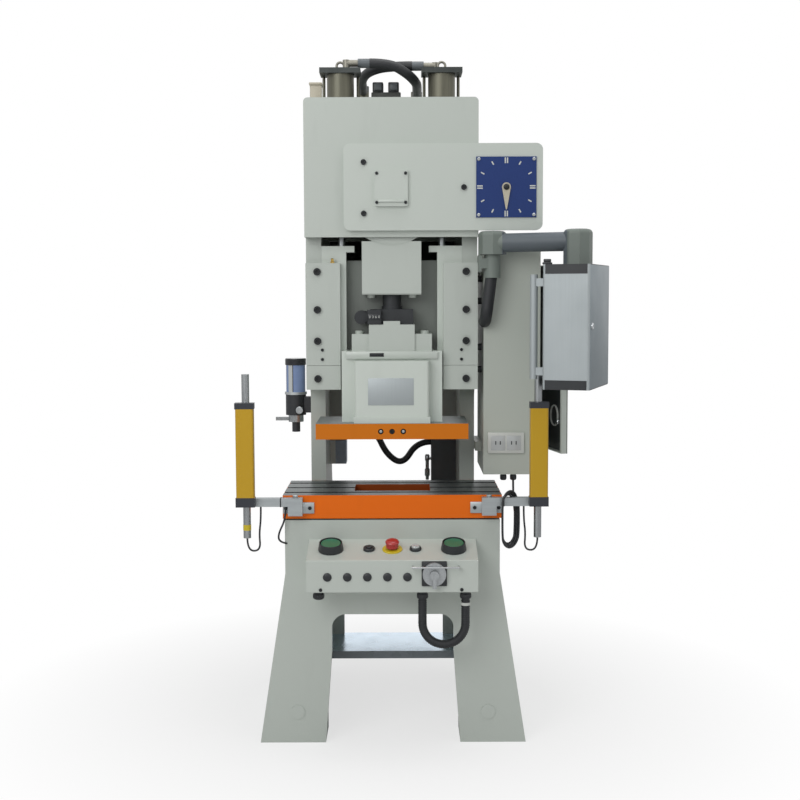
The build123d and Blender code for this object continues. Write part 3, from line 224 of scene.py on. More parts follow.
# %% Metal finishes
def brushed(name, colour, roughness=0.34, along=(0.02, 1, 1), scale=240, contrast=0.16, metallic=1.0,
            stain=0.12):
    """Bare metal with fine lines along one axis, and duller stains."""
    shader = Shader(name)
    lines = shader.noise(scale, 3, along)
    cloud = shader.spread(shader.noise(7, 5), 0.35, 0.7)
    base = shader.mix(lines, shade(colour, 1 - contrast), shade(colour, 1 + contrast))
    base = shader.mix(cloud * stain, base, shade(colour, 0.42))
    rough = lines * 0.22 + cloud * 0.1 + (roughness - 0.16)
    return shader.surface(base, rough, metallic, height=lines, depth=0.00008)


def cast(name, colour, roughness=0.62, metallic=0.6):
    """Sand-cast iron or a rough zinc casting: grainy, with darker hollows."""
    shader = Shader(name)
    grain = shader.noise(420, 4)
    blotch = shader.noise(26, 4)
    base = shader.mix(blotch, shade(colour, 0.72), shade(colour, 1.22))
    return shader.surface(base, grain * 0.2 + (roughness - 0.1), metallic, height=grain, depth=0.0004)


steel = brushed("turned_steel", tone(172, 176, 178), 0.3, (1, 1, 0.03))
bright_steel = brushed("bright_steel", tone(200, 204, 206), 0.24, (1, 1, 0.05), contrast=0.08, stain=0.05)
aluminium = brushed("brushed_aluminium", tone(172, 179, 181), 0.56, (1, 1, 0.015), 300, 0.1, 0.5, 0.06)
# Painted shade: the pendant's side door is the same aluminium written darker, for the side turned from the
# lamps.
side_aluminium_painted_shade = brushed("side_aluminium_painted_shade", tone(146, 155, 160), 0.5, (1, 1, 0.015), 300, 0.08, 0.5, 0.1)
arm_aluminium = brushed("bar_aluminium", tone(178, 184, 186), 0.4, (0.03, 1, 1), 260, 0.1, 0.85, 0.1)
brass = brushed("brass", tone(176, 148, 84), 0.32, (1, 1, 0.1), 200, 0.1, 1.0, 0.1)
iron = cast("cast_iron", tone(78, 80, 78), 0.6, 0.7)
dark_iron = cast("dark_iron", tone(58, 60, 62), 0.55, 0.6)
bronze = brushed("bearing_bronze", tone(150, 118, 66), 0.38, (1, 0.05, 1), 200, 0.15, 1.0, 0.2)
black_steel = cast("black_oxide", tone(40, 42, 44), 0.42, 0.5)
print(len(bpy.data.materials), "finishes with the metals")

# %% [markdown]
# ## Plastic and rubber
# Moulded plastic and rubber have no colour of their own to vary, so what tells them apart is sheen and
# skin: a fine grain, a little dust in the broad patches, and a roughness that the hand has polished.


# %% Plastic finishes
def moulded(name, colour, roughness=0.45, grain=0.00010, dust=0.12, coat=0.0):
    """Plastic or rubber with a fine grain and dusty patches."""
    shader = Shader(name)
    skin = shader.noise(520, 3)
    patches = shader.spread(shader.noise(14, 5), 0.45, 0.75)
    base = shader.mix(patches * dust, colour, shade(colour, 1.9))
    rough = patches * 0.14 + (roughness - 0.05)
    return shader.surface(base, rough, height=skin, depth=grain, Coat_Weight=coat)


black_plastic = moulded("black_plastic", tone(38, 41, 44), 0.42)
rubber = moulded("black_rubber", tone(34, 36, 39), 0.55, 0.00018, 0.3)
green_plastic = moulded("green_plastic", tone(6, 118, 88), 0.35, 0.00004, 0.06, 0.3)
red_plastic = moulded("red_plastic", tone(178, 44, 42), 0.38, 0.00004, 0.1, 0.3)
yellow_plastic = moulded("yellow_plastic", tone(214, 190, 32), 0.4, 0.00004, 0.05, 0.2)
white_plastic = moulded("white_plastic", tone(206, 209, 204), 0.35, 0.00004, 0.02, 0.2)
lens_plastic = moulded("lens_plastic", tone(186, 190, 190), 0.2, 0.00004, 0.05, 0.5)
print(len(bpy.data.materials), "finishes so far")

# %% [markdown]
# ## One part, two finishes
# The bolster and the slide plate are orange round the edge and bare ground steel on top. Nobody masks
# that by hand here: the surface's own normal says which way it faces, and its place says where it is.
# Orange stays on the outer faces and in the hole for the blanks, where a darker orange is painted shade. What
# faces up near the top is ground steel, and the walls of the T-slots are dark bare steel. The slide plate's
# ground steel is written lighter, as painted light.


# %% Orange edges and ground tops
PAINT_EDGE = 0.002
BLANK_HOLE = (0.126, 0.0725)


def orange_edged(name, node, orange, bright=1.0, hole_x=0.0, hole_y=0.0):
    """Orange outside and a darker orange in the hole as painted shade, ground steel on top made lighter by
    bright as painted light, dark steel in the slots.
    """
    low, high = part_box(node)
    mid_y, half_y = (low.y + high.y) / 2, (high.y - low.y) / 2
    shader = Shader(name)
    up = shader.facing("Z") > 0.5
    at_top = shader.z > high.z - PAINT_EDGE
    inner = (abs(shader.x) < high.x - PAINT_EDGE) * (abs(shader.y - mid_y) < half_y - PAINT_EDGE)
    in_hole = (abs(shader.x) < hole_x) * (abs(shader.y - mid_y) < hole_y)
    lines = shader.noise(200, 3, (0.03, 1, 1))
    cloud = shader.spread(shader.noise(6, 5), 0.35, 0.7)
    # Painted light: bright above 1 gives a lighter copy of the same ground steel.
    ground = shader.mix(lines, shade(tone(88, 94, 94), bright), shade(tone(132, 138, 138), bright))
    ground = shader.mix(cloud * 0.35, ground, tone(66, 70, 70))
    slot = shader.clamp(inner - in_hole) * (1 - up * at_top)
    colour = shader.mix(up * at_top, paint_colour(shader, orange, 0.05, 0.1), ground)
    # Painted shade: the walls of the hole for the blanks are a darker orange than the outer faces.
    colour = shader.mix(in_hole * (1 - up * at_top), colour, tone(150, 66, 14))
    colour = shader.mix(slot, colour, tone(50, 53, 54))
    rough = up * at_top * (lines * 0.2 - 0.08) + 0.38
    metal = shader.clamp(up * at_top + slot) * 0.8
    skin = shader.noise(300, 2)
    return shader.surface(colour, rough, metal, height=skin, depth=0.0001, Specular_IOR_Level=0.3)


bolster_finish = orange_edged("bolster_finish", "bolster", ORANGE, 1.0, *BLANK_HOLE)
# Painted light: the slide plate's ground top is the bolster's ground steel made 1.9 times lighter.
plate_paint_and_painted_light = orange_edged("slide_plate_finish", "slide_plate", tone(214, 118, 8), 1.9)

# %% [markdown]
# ## More masks by place
# Some nodes carry two colours in one casting: the web behind the screw is darker, the shelf has a pale
# rolled-steel top, the door has painted shade inside its rim, the cylinders have dark heads. Each of these is
# one comparison of the object coordinates with the place where one surface ends and the next begins.

# %% Two-tone nodes of the frame, the slide and the door, with painted light and painted shade
DOOR_TURN, DOOR_HINGE = 13, (0.494, 0.048)


def slide_paint_and_painted_light():
    """Cream castings, lighter than the frame's cream as painted light, with a darker web behind the screw."""
    web_half, web_front_y, web_low_z = 0.1491, -0.2, 1.2655
    shader = Shader("slide_paint_and_painted_light")
    web = (abs(shader.x) < web_half) * (shader.y > web_front_y) * (shader.z > web_low_z)
    # Painted light: the slide's castings are the frame's cream made lighter by a fifth.
    casting = paint_colour(shader, shade(CREAM, 1.22))
    return sprayed(shader, shader.mix(web, casting, paint_colour(shader, tone(134, 140, 134), 0.16, 0.5)))


def shelf_finish():
    """Bright rolled steel on top, a dark front edge."""
    front_y, sheet_high_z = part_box("base_shelf")[0].y, 0.2305
    shader = Shader("shelf_finish")
    sheet = shader.z < sheet_high_z
    top = (shader.facing("Z") > 0.5) * sheet
    edge = (shader.facing("Y") < -0.5) * sheet * (shader.y < front_y + PAINT_EDGE)
    rolled = paint_colour(shader, tone(220, 238, 255), 0.04, 0.15)
    colour = shader.mix(top, paint_colour(shader, CREAM), rolled)
    colour = shader.mix(edge, colour, paint_colour(shader, tone(118, 126, 132), 0.1, 0.3))
    return sprayed(shader, colour, 0.26, metallic=top)


def door_painted_light_and_shade():
    """Cream outside and on the rim, lightened as painted light, and dark grey inside the pan as painted shade.
    The distance from the hinge is measured square to the door, which stands ajar."""
    pan_from, pan_to = 0.0112, 0.0128
    turn = radians(DOOR_TURN)
    shader = Shader("door_painted_light_and_shade")
    across = (shader.x - DOOR_HINGE[0]) * cos(turn) + (shader.y - DOOR_HINGE[1]) * sin(turn)
    inside = (across > pan_from) * (across < pan_to)
    # Painted light: the outside and rim are the frame's cream made a tenth lighter, where the rim catches the
    # lamps.
    outside = paint_colour(shader, shade(CREAM, 1.1), 0.03, 0.08)
    # Painted shade: the inner face of the pan is dark grey, for the shade inside the door that stands ajar.
    colour = shader.mix(inside, outside, paint_colour(shader, tone(44, 48, 50)))
    return sprayed(shader, colour, 0.42, 0.1)


def throat_painted_shade_and_light():
    """Boxes behind the throat in dark grey as painted shade, with a pale edge, and on the left one a blue-grey
    door and white strip lightened as painted light.
    """
    panel_high_z, box_high_z, strip_x = 0.917, 0.93, -0.211
    shader = Shader("throat_painted_shade_and_light")
    panel = (shader.x < 0) * (shader.z < panel_high_z)
    strip = panel * (shader.x < strip_x)
    # Painted shade: the boxes are dark grey for the shade of the throat; the band above box_high_z is pale.
    grey = shader.mix(shader.z > box_high_z, tone(72, 77, 80), tone(176, 180, 176))
    # Painted light: the blue-grey door and its white strip are written lighter against the shade of the throat.
    colour = shader.mix(panel, grey, tone(176, 192, 212))
    colour = shader.mix(strip, colour, tone(236, 240, 238))
    return sprayed(shader, colour, 0.45, 0.1)


two_tone_and_painted_light = {"slide": slide_paint_and_painted_light(), "base_shelf": shelf_finish(), "cabinet_door": door_painted_light_and_shade(),
            "throat_boxes": throat_painted_shade_and_light()}
print("two finishes on", ", ".join(two_tone_and_painted_light))


# %% Two-tone nodes of the fittings
def cylinder_finish():
    """Yellow zinc tubes, dark heads, grey sleeves on the air elbows."""
    collar_high, head_low, head_high, sleeve_x = 2.0805, 2.1605, 2.1785, 0.107
    shader = Shader("cylinder_finish")
    head = (shader.z > head_low) * (shader.z < head_high)
    collar = shader.z < collar_high
    sleeve = (shader.z > head_high) * (abs(shader.x) < sleeve_x)
    lines = shader.noise(200, 3, (1, 1, 0.04))
    fitting = shader.z > head_high
    colour = shader.mix(lines, tone(84, 84, 74), tone(114, 112, 98))
    colour = shader.mix(fitting, colour, shader.mix(lines, tone(120, 118, 108), tone(150, 148, 138)))
    dark = shader.clamp(head + collar)
    colour = shader.mix(dark, colour, shader.mix(shader.noise(30, 4), tone(48, 52, 52), tone(76, 80, 78)))
    colour = shader.mix(sleeve, colour, tone(96, 102, 106))
    return shader.surface(colour, lines * 0.2 + 0.34, 0.7 - sleeve * 0.6, height=lines, depth=0.0001)


def pump_finish():
    """Black body with a bright flange."""
    flange_low_z, flange_x = 1.105, -0.29
    shader = Shader("pump_finish")
    flange = (shader.z > flange_low_z) * (shader.x < flange_x)
    grain = shader.noise(300, 3)
    colour = shader.mix(grain, tone(34, 36, 40), tone(48, 50, 54))
    colour = shader.mix(flange, colour, tone(190, 194, 196))
    return shader.surface(colour, grain * 0.12 + 0.34, flange * 0.9, height=grain, depth=0.0001)


def tank_finish():
    """Clear tank as it reads from outside: lilac oil, a white scale and a black lid."""
    lid_low_z, front_y, scale_from_x, scale_to_x, line_to_x = 1.2068, -0.04, -0.358, -0.344, -0.341
    shader = Shader("tank_finish")
    lid = shader.z > lid_low_z
    front = shader.y < front_y
    scale = (shader.x > scale_from_x) * (shader.x < scale_to_x) * front
    line = (shader.x > scale_to_x) * (shader.x < line_to_x) * front
    cloud = shader.noise(40, 3)
    colour = shader.mix(cloud, tone(118, 140, 186), tone(146, 166, 206))
    colour = shader.mix(scale, colour, tone(206, 210, 210))
    colour = shader.mix(line, colour, tone(60, 64, 72))
    colour = shader.mix(lid, colour, tone(36, 38, 42))
    return shader.surface(colour, cloud * 0.08 + 0.12, height=cloud, depth=0.0001, Coat_Weight=0.5)


def knob_finish():
    """Bright disc and handle, black between them."""
    disc_front_y, handle_front_y = -0.564, -0.5745
    shader = Shader("knob_finish")
    knob = (shader.y < disc_front_y) * (shader.y > handle_front_y)
    turned_marks = shader.noise(260, 3)
    colour = shader.mix(turned_marks, tone(150, 154, 156), tone(196, 200, 202))
    colour = shader.mix(knob, colour, tone(40, 42, 44))
    rough = turned_marks * 0.15 + 0.3
    return shader.surface(colour, rough, 0.8 - knob * 0.8, height=turned_marks, depth=0.00006)


def arm_finish():
    """Green-grey cast elbows and a darker, bluish tube between them."""
    tube_from_x, tube_to_x = 0.352, 0.545
    shader = Shader("arm_finish")
    tube = (shader.x > tube_from_x) * (shader.x < tube_to_x)
    elbows = paint_colour(shader, tone(118, 127, 121), 0.04)
    return sprayed(shader, shader.mix(tube, elbows, paint_colour(shader, tone(92, 100, 106), 0.06)), 0.5, 0.0)


def dial_blue():
    """Printed blue sheet with a fine speck."""
    shader = Shader("dial_blue")
    speck = shader.noise(600, 2)
    colour = shader.mix(speck, tone(24, 48, 104), tone(38, 64, 126))
    return shader.surface(colour, 0.34, height=shader.noise(90, 2), depth=0.0001, Specular_IOR_Level=0.3)


def curtain_yellow():
    """Yellow profile between dark end caps."""
    caps_below_z, caps_above_z = 0.812, 1.092
    shader = Shader("curtain_yellow")
    cap = shader.clamp((shader.z < caps_below_z) + (shader.z > caps_above_z))
    colour = shader.mix(cap, paint_colour(shader, tone(200, 158, 18), 0.05, 0.1), tone(40, 44, 52))
    skin = shader.noise(300, 2)
    return shader.surface(colour, cap * 0.1 + 0.36, height=skin, depth=0.0001, Coat_Weight=0.15)


two_tone_and_painted_light |= {"balance_cylinders": cylinder_finish(), "lubricator_pump": pump_finish(),
             "lubricator_tank": tank_finish(), "selector_knob": knob_finish(),
             "pendant_arm": arm_finish(), "dial_face": dial_blue(), "light_curtains": curtain_yellow()}
print(len(two_tone_and_painted_light), "nodes with a finish of their own")

# %% [markdown]
# ## Each node gets its finish
# The frame's nodes keep their shapes. Assigning to the material slot of a node changes only its looks.

# %% Dress the nodes
FINISH = {
    cream: ["side_plate_left", "side_plate_right", "base_front_plate", "base_rear_plate", "bed_plate",
            "leg_walls", "foot_plates", "head_cover", "gib_plates", "ball_seat_cap", "connecting_rod",
            "crown_plates", "flywheel_guard"],
    cover_cream: ["dial_cover", "shaft_end_cover"],
    console_cream_painted_light: ["console_box"],
    cabinet_paint: ["cabinet"],
    bolster_finish: ["bolster"],
    plate_paint_and_painted_light: ["slide_plate"],
    bronze: ["main_bearings", "eccentric_bush"],
    steel: ["crankshaft", "balance_rods", "curtain_posts", "lubricator_lever"],
    iron: ["flywheel", "motor_pulley"],
    dark_iron: ["height_adjuster", "adjusting_screw"],
    rubber: ["v_belts", "u_conduit"],
    motor_grey: ["drive_motor"],
    black_plastic: ["push_button"],
    black_steel: ["frame_bolts"],
    green_plastic: ["palm_button_left", "palm_button_right"],
    red_plastic: ["stop_button"],
    pointer_beige: ["dial_pointer"],
    arm_aluminium: ["curtain_arms"],
    elbow_grey: ["arm_bracket"],
    aluminium: ["pendant_box"],
    **{material: [name] for name, material in two_tone_and_painted_light.items()},
}

for material, names in FINISH.items():
    for name in names:
        mesh = nodes[name].data
        mesh.materials.clear()
        mesh.materials.append(material)
print(sum(len(names) for names in FINISH.values()), "nodes dressed")

# %% [markdown]
# ## Cables and hoses
# A free cable is one smooth curve, not a chain of straight bits. A NURBS curve of order 3 that ends on its
# own end points is the right tool: its control points are the route's corners, and it rounds each of them
# as a real cable would.


# %% Free cables
def cable(name, points, thick, nodes_replaced, long):
    """A cable or hose that leaves the machine and goes back into it."""
    curve = bpy.data.curves.new(name, "CURVE")
    curve.dimensions = "3D"
    curve.bevel_depth = thick / 2
    curve.bevel_resolution = 6
    curve.resolution_u = 14
    curve.use_fill_caps = True
    spline = curve.splines.new("NURBS")
    spline.points.add(len(points) - 1)
    for control, place in zip(spline.points, points):
        control.co = (*place, 1)
    spline.order_u = 3
    spline.use_endpoint_u = True
    line = bpy.data.objects.new(name, curve)
    bpy.context.collection.objects.link(line)
    curve.materials.append(rubber)
    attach(line, "frame")
    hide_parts(*nodes_replaced)
    print(name, "is", long, "m long")


def mirrored(points):
    return [(-x, y, z) for x, y, z in points]


LEFT_POST = [(-0.462, -0.418, 0.677), (-0.462, -0.418, 0.635), (-0.42, -0.418, 0.635),
             (-0.424, -0.418, 0.691), (-0.418, -0.418, 0.735), (-0.418, -0.418, 0.778)]
LEFT_ARM = [(-0.339, -0.418, 0.778), (-0.339, -0.418, 0.738), (-0.364, -0.42, 0.688), (-0.36, -0.416, 0.662),
            (-0.338, -0.4, 0.655)]
REAR_HOSE = [(-0.172, 0.245, 0.985), (-0.12, 0.245, 0.985), (-0.062, 0.243, 0.94), (-0.024, 0.241, 0.858),
             (0.036, 0.241, 0.82), (0.088, 0.243, 0.905), (0.14, 0.245, 0.905)]
UPPER_HOSE = [(0.069, -0.172, 2.194), (-0.01, -0.172, 2.194), (-0.075, -0.125, 2.186), (-0.1, -0.05, 2.172),
              (-0.1, 0.03, 2.16), (-0.1, 0.11, 2.16)]
LOWER_HOSE = [(-0.069, -0.224, 2.194), (0, -0.224, 2.194), (0.058, -0.2, 2.162), (0.084, -0.14, 2.145),
              (0.087, -0.055, 2.143), (0.088, 0.03, 2.14), (0.088, 0.11, 2.14)]
CABINET_LEAD = [(0.402, -0.22, 0.831), (0.402, -0.22, 0.785), (0.404, -0.25, 0.735), (0.402, -0.305, 0.722),
                (0.398, -0.358, 0.748)]

cable("left_post_lead", LEFT_POST, 0.006, ["left_post_cable"], 0.196)
cable("right_post_lead", mirrored(LEFT_POST), 0.006, ["right_post_cable"], 0.196)
cable("left_arm_lead", LEFT_ARM, 0.006, ["left_arm_cable"], 0.139)
cable("rear_air_hose", REAR_HOSE, 0.023, ["air_hoses"], 0.402)
cable("upper_air_hose", UPPER_HOSE, 0.032, [], 0.385)
cable("lower_air_hose", LOWER_HOSE, 0.032, [], 0.44)

# %% [markdown]
# ## The spare cable
# The cable of the light curtains is longer than it needs to be, so its spare length is wound into a hank
# and hung over the right arm. Each turn is a long loop with round ends. One loop of code walks round it
# three times, and lets every turn come out a little wider and a little further forward than the last.

# %% Hank over the right arm
HANK_AT = Vector((0.372, -0.418, 0))
ACROSS = Vector((cos(radians(50)), sin(radians(50)), 0))
OUTWARD = Vector((sin(radians(50)), -cos(radians(50)), 0))
TURNS, STEPS = 3, 14
LOW_END, HIGH_END, HALF_WIDE, GROWS, GOES_OUT = 0.688, 0.7832, 0.038, 0.018, 0.012


def hank_points():
    """The corners of the turns, from the innermost to the outermost."""
    points = []
    for step in range(TURNS * STEPS):
        done = step / (TURNS * STEPS)
        angle = 2 * pi * (step + 0.5) / STEPS
        reach = HALF_WIDE + GROWS * (done - 0.5)
        end = HIGH_END if sin(angle) > 0 else LOW_END
        side = ACROSS * (reach * cos(angle)) + OUTWARD * (GOES_OUT * (done - 0.5))
        points.append(tuple(HANK_AT + side + Vector((0, 0, end + reach * sin(angle)))))
    return points


tail = [(0.4058, -0.387, 0.777), (0.399, -0.3952, 0.7889), (0.3891, -0.407, 0.791)]
cable("curtain_lead_hank", CABINET_LEAD + hank_points() + tail, 0.007, ["cabinet_cable", "cable_hank"], 1.55)

# %% [markdown]
# ## Helpers for modelled pieces
# Every fitting below starts as a primitive and is then worked on: extruded ring by ring, cut, bevelled.
# What repeats is modelled once and copied, and each copy has its own mesh. Place and turn are written
# into the mesh, so that the piece itself stays at the origin.


# %% Shaping helpers
def only(piece):
    """Selects one piece and nothing else."""
    bpy.ops.object.select_all(action="DESELECT")
    piece.select_set(True)
    bpy.context.view_layer.objects.active = piece


def settle(piece, at=(0, 0, 0), turn=(0, 0, 0)):
    """Writes a place and a turn in degrees into the mesh."""
    only(piece)
    piece.location = at
    piece.rotation_euler = [radians(angle) for angle in turn]
    bpy.ops.object.transform_apply(location=True, rotation=True, scale=True)
    return piece


def turned(rings, sides=40, hollow=False):
    """A piece turned about Z: each ring is a radius and a height, from its first end to its last."""
    (radius, height), *rest = rings
    fill = "NOTHING" if hollow else "NGON"
    bpy.ops.mesh.primitive_circle_add(vertices=sides, radius=radius, fill_type=fill, location=(0, 0, height))
    piece = bpy.context.object
    bpy.ops.object.transform_apply(location=True, rotation=True, scale=True)
    bpy.ops.object.mode_set(mode="EDIT")
    bpy.ops.mesh.select_all(action="SELECT")
    for wide, high in rest + ([rings[0]] if hollow else []):
        bpy.ops.mesh.extrude_region_move(TRANSFORM_OT_translate={"value": (0, 0, high - height)})
        bpy.ops.transform.resize(value=(wide / radius, wide / radius, 1), center_override=(0, 0, high))
        radius, height = wide, high
    bpy.ops.mesh.select_all(action="SELECT")
    bpy.ops.mesh.remove_doubles(threshold=1e-6)
    bpy.ops.mesh.normals_make_consistent(inside=False)
    bpy.ops.object.mode_set(mode="OBJECT")
    return piece


def slab(low, high):
    """A block between two corners."""
    middle = [(a + b) / 2 for a, b in zip(low, high)]
    bpy.ops.mesh.primitive_cube_add(size=1, location=middle, scale=[b - a for a, b in zip(low, high)])
    piece = bpy.context.object
    bpy.ops.object.transform_apply(location=True, rotation=True, scale=True)
    return piece


def cut_off(piece, point, normal):
    """Slices off what lies beyond a plane and closes the cut."""
    only(piece)
    bpy.ops.object.mode_set(mode="EDIT")
    bpy.ops.mesh.select_all(action="SELECT")
    bpy.ops.mesh.bisect(plane_co=point, plane_no=normal, use_fill=True, clear_outer=True)
    bpy.ops.object.mode_set(mode="OBJECT")
    return piece


# %% Copying, joining and finishing
def together(pieces):
    """Joins like pieces into one."""
    bpy.ops.object.select_all(action="DESELECT")
    for piece in pieces:
        piece.select_set(True)
    bpy.context.view_layer.objects.active = pieces[0]
    bpy.ops.object.join()
    return bpy.context.object


def moved(x=0.0, y=0.0, z=0.0):
    """A place without a turn."""
    return (x, y, z), (0, 0, 0)


def repeated(piece, *places):
    """Settles a piece and its copies, one at each place and turn, and joins them."""
    copies = [piece]
    for place in places[1:]:
        only(piece)
        bpy.ops.object.duplicate()
        copies.append(bpy.context.object)
    return together([settle(each, *place) for each, place in zip(copies, places)])


def finished(piece, name, material, bevel=0.0, body="frame"):
    """Rounds the edges, names the piece, gives it its finish and its body."""
    only(piece)
    piece.name = name
    if bevel:
        rounding = piece.modifiers.new("rounding", "BEVEL")
        rounding.width, rounding.segments = bevel, 2
        rounding.limit_method, rounding.angle_limit = "ANGLE", radians(40)
        bpy.ops.object.modifier_apply(modifier=rounding.name)
    bpy.ops.object.shade_smooth_by_angle(angle=radians(35))
    piece.data.materials.append(material)
    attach(piece, body)
    print(name, "rides on", body, "with", len(piece.data.polygons), "faces")
    return piece


# %% [markdown]
# ## The console
# The two-hand buttons stand in flared guards that keep a falling tool off them. A guard is a thin wall
# with a rim, so it is turned as a closed section: up the outside, over the rim and down the inside. The
# console's top slopes by 15 degrees, and every fitting on it is settled with that one turn.

# %% Guards, disc and bezels on the sloping top
TOP_Y, TOP_Z, TILT = -0.4725, 0.6485, 15.05
PALM_X, BEZEL_X, BEZEL_FLAT = 0.193, 0.073, 0.0145


def on_top(x):
    """The place of a turned piece that stands on the sloping top."""
    return (x, TOP_Y, TOP_Z), (TILT, 0, 0)


GUARD = [(0.040, 0), (0.040, 0.005), (0.0362, 0.024), (0.0362, 0.026), (0.0335, 0.026), (0.0330, 0.006),
         (0.0125, 0.006), (0.0125, 0)]
guards = repeated(turned(GUARD, 56, hollow=True), on_top(-PALM_X), on_top(PALM_X))
finished(guards, "palm_guards", black_plastic, 0.0006)
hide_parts("console_fittings")

DISC = [(0.0315, 0), (0.0315, 0.0034), (0.0305, 0.0044), (0.0092, 0.0044), (0.0092, 0)]
disc = settle(turned(DISC, 56, hollow=True), *on_top(0))
finished(disc, "stop_disc", yellow_plastic, 0.0004)

CAP = [(0.0185, 0.021), (0.0215, 0.0235), (0.0218, 0.027), (0.0195, 0.0308), (0.0145, 0.0336), (0.0075, 0.035)]
mushroom = settle(turned(CAP, 48), *on_top(0))
finished(mushroom, "stop_mushroom", red_plastic, 0.0004, body="stop")

LEFT_BEZEL = [(0.0185, 0), (0.0185, 0.0065), (0.0168, 0.009), (0.0112, 0.009), (0.0112, 0)]
RIGHT_BEZEL = [(0.0185, 0), (0.0185, 0.0065), (0.0168, 0.009), (0.0135, 0.009), (0.0135, 0.006)]
bezels = []
for x, rings, hollow in ((-BEZEL_X, LEFT_BEZEL, True), (BEZEL_X, RIGHT_BEZEL, False)):
    flat = cut_off(turned(rings, 48, hollow), (0, BEZEL_FLAT, 0), (0, 1, 0))
    bezels.append(settle(flat, *on_top(x)))
finished(together(bezels), "console_bezels", black_plastic, 0.0004)

LENS = [(0.0132, 0.0065), (0.0132, 0.0125), (0.0112, 0.0152), (0.006, 0.0165)]
lens = settle(turned(LENS, 40), *on_top(BEZEL_X))
finished(lens, "lamp_lens", lens_plastic, 0.0004)

# %% Plugs, selector plate and keeper bar on the front
FACE_Y = -0.545
PLUGS, PLUG_X, PLUG_PITCH, PLUG_Z = 5, -0.201, 0.062, 0.577
PLUG = [(0.0135, 0), (0.0135, 0.0018), (0.0122, 0.0042), (0.0085, 0.0056), (0.004, 0.0062)]
SCREW = [(0.0055, 0), (0.0055, 0.0022), (0.004, 0.0034), (0.0028, 0.0034), (0.0028, 0.0016)]


def on_face(x, z, y=FACE_Y):
    """The place of a turned piece on a surface that faces the operator."""
    return (x, y, z), (90, 0, 0)


plugs = repeated(turned(PLUG), *[on_face(PLUG_X + PLUG_PITCH * step, PLUG_Z) for step in range(PLUGS)])
finished(plugs, "hole_plugs", black_plastic)

plate = slab((0.091, FACE_Y - 0.006, 0.549), (0.169, FACE_Y, 0.627))
finished(plate, "selector_plate", black_plastic, 0.0022)

BAR_X, BAR_Y, BAR_Z, LEG_W = (0.06, 0.208), (-0.5705, -0.5665), (0.6085, 0.6135), 0.006
rail = slab((BAR_X[0], BAR_Y[0], BAR_Z[0]), (BAR_X[1], BAR_Y[1], BAR_Z[1]))
leg = slab((BAR_X[0], BAR_Y[1] - 0.0005, BAR_Z[0]), (BAR_X[0] + LEG_W, FACE_Y, BAR_Z[1]))
bar = together([rail, repeated(leg, moved(), moved(BAR_X[1] - BAR_X[0] - LEG_W))])
finished(bar, "selector_keeper", bright_steel, 0.0008)

screws = repeated(turned(SCREW, 20), on_face(-0.222, 0.537), on_face(0.215, 0.537))
finished(screws, "console_screws", black_steel)

# %% [markdown]
# ## Glands and conduit
# A cable gland is a threaded neck, a six-sided nut and a soft dome. Six sides instead of forty is all
# that a nut needs. The conduit between two of the glands is ribbed: one rib is turned, and its copies
# are set along the conduit, each one square to the way it runs.

# %% Cable glands
LEG_X, CONDUIT_Y, SPARE_X = (0.094, 0.229), -0.5, -0.231


def gland(nut_r, neck, nut):
    """A gland that hangs from a panel: neck, nut and dome."""
    nut_low, low = -neck - nut * 0.6, -neck - nut
    collar = turned([(nut_r * 0.82, 0), (nut_r * 0.82, -neck)], 32)
    hexagon = turned([(nut_r * 1.06, -neck), (nut_r * 1.06, nut_low)], 6)
    dome = turned([(nut_r * 0.95, nut_low), (nut_r * 0.9, -neck - nut * 0.8), (nut_r * 0.7, low)], 32)
    return together([collar, hexagon, dome])


under_console = [moved(x, CONDUIT_Y, 0.528) for x in (SPARE_X, *LEG_X)]
under_cabinet = [moved(x, -0.22, 0.855) for x in (0.369, 0.402)]
glands = together([repeated(gland(0.019, 0.014, 0.016), *under_console),
                   repeated(gland(0.0115, 0.008, 0.016), *under_cabinet)])
finished(glands, "glands", black_plastic, 0.0006)
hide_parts("cable_glands")

# %% Ribs of the conduit
RIB_R, RIB_THICK_R, RIB_PITCH, LEG_RIBS, LEG_TOP_Z = 0.0124, 0.0017, 0.0062, 12, 0.492
BEND_R, BEND_Z = 0.0675, 0.4195
BEND_X = sum(LEG_X) / 2
BEND_RIBS = int(pi * BEND_R / RIB_PITCH)

section = [(RIB_R + RIB_THICK_R * cos(pi * side / 3), RIB_THICK_R * sin(pi * side / 3)) for side in range(6)]
rib_places = [moved(x, CONDUIT_Y, LEG_TOP_Z - step * RIB_PITCH) for step in range(LEG_RIBS) for x in LEG_X]
for step in range(BEND_RIBS + 1):
    angle = pi * step / BEND_RIBS
    middle = (BEND_X - BEND_R * cos(angle), CONDUIT_Y, BEND_Z - BEND_R * sin(angle))
    rib_places.append((middle, (0, 180 - 180 * step / BEND_RIBS, 0)))
conduit = repeated(turned(section, 24, hollow=True), *rib_places)
finished(conduit, "conduit_ribs", rubber)

TAG = [(0.0152, 0.478), (0.0152, 0.487), (0.0143, 0.487), (0.0143, 0.478)]
tag = settle(turned(TAG, 32, hollow=True), (LEG_X[1], CONDUIT_Y, 0))
finished(tag, "conduit_tag", white_plastic)

# %% [markdown]
# ## The dial
# The dial shows where the crank is: twelve marks round a circle, doubled at the quarters. Each kind of
# mark is made once, at the top of the circle, and its copies are turned about the dial's axis.

# %% Marks, screws and hub of the dial
DIAL = (0.367, -0.324, 1.788)
MARK_R, MARK_W, MARK_T = 0.093, 0.004, 0.0006


def mark(long, x=0.0):
    """A thin bar at the top of the circle."""
    return slab((x - MARK_W / 2, -MARK_T, MARK_R - long), (x + MARK_W / 2, 0, MARK_R))


def at_hours(hours):
    """The place of the mark at each of these hours."""
    return [(DIAL, (0, 30 * hour, 0)) for hour in hours]


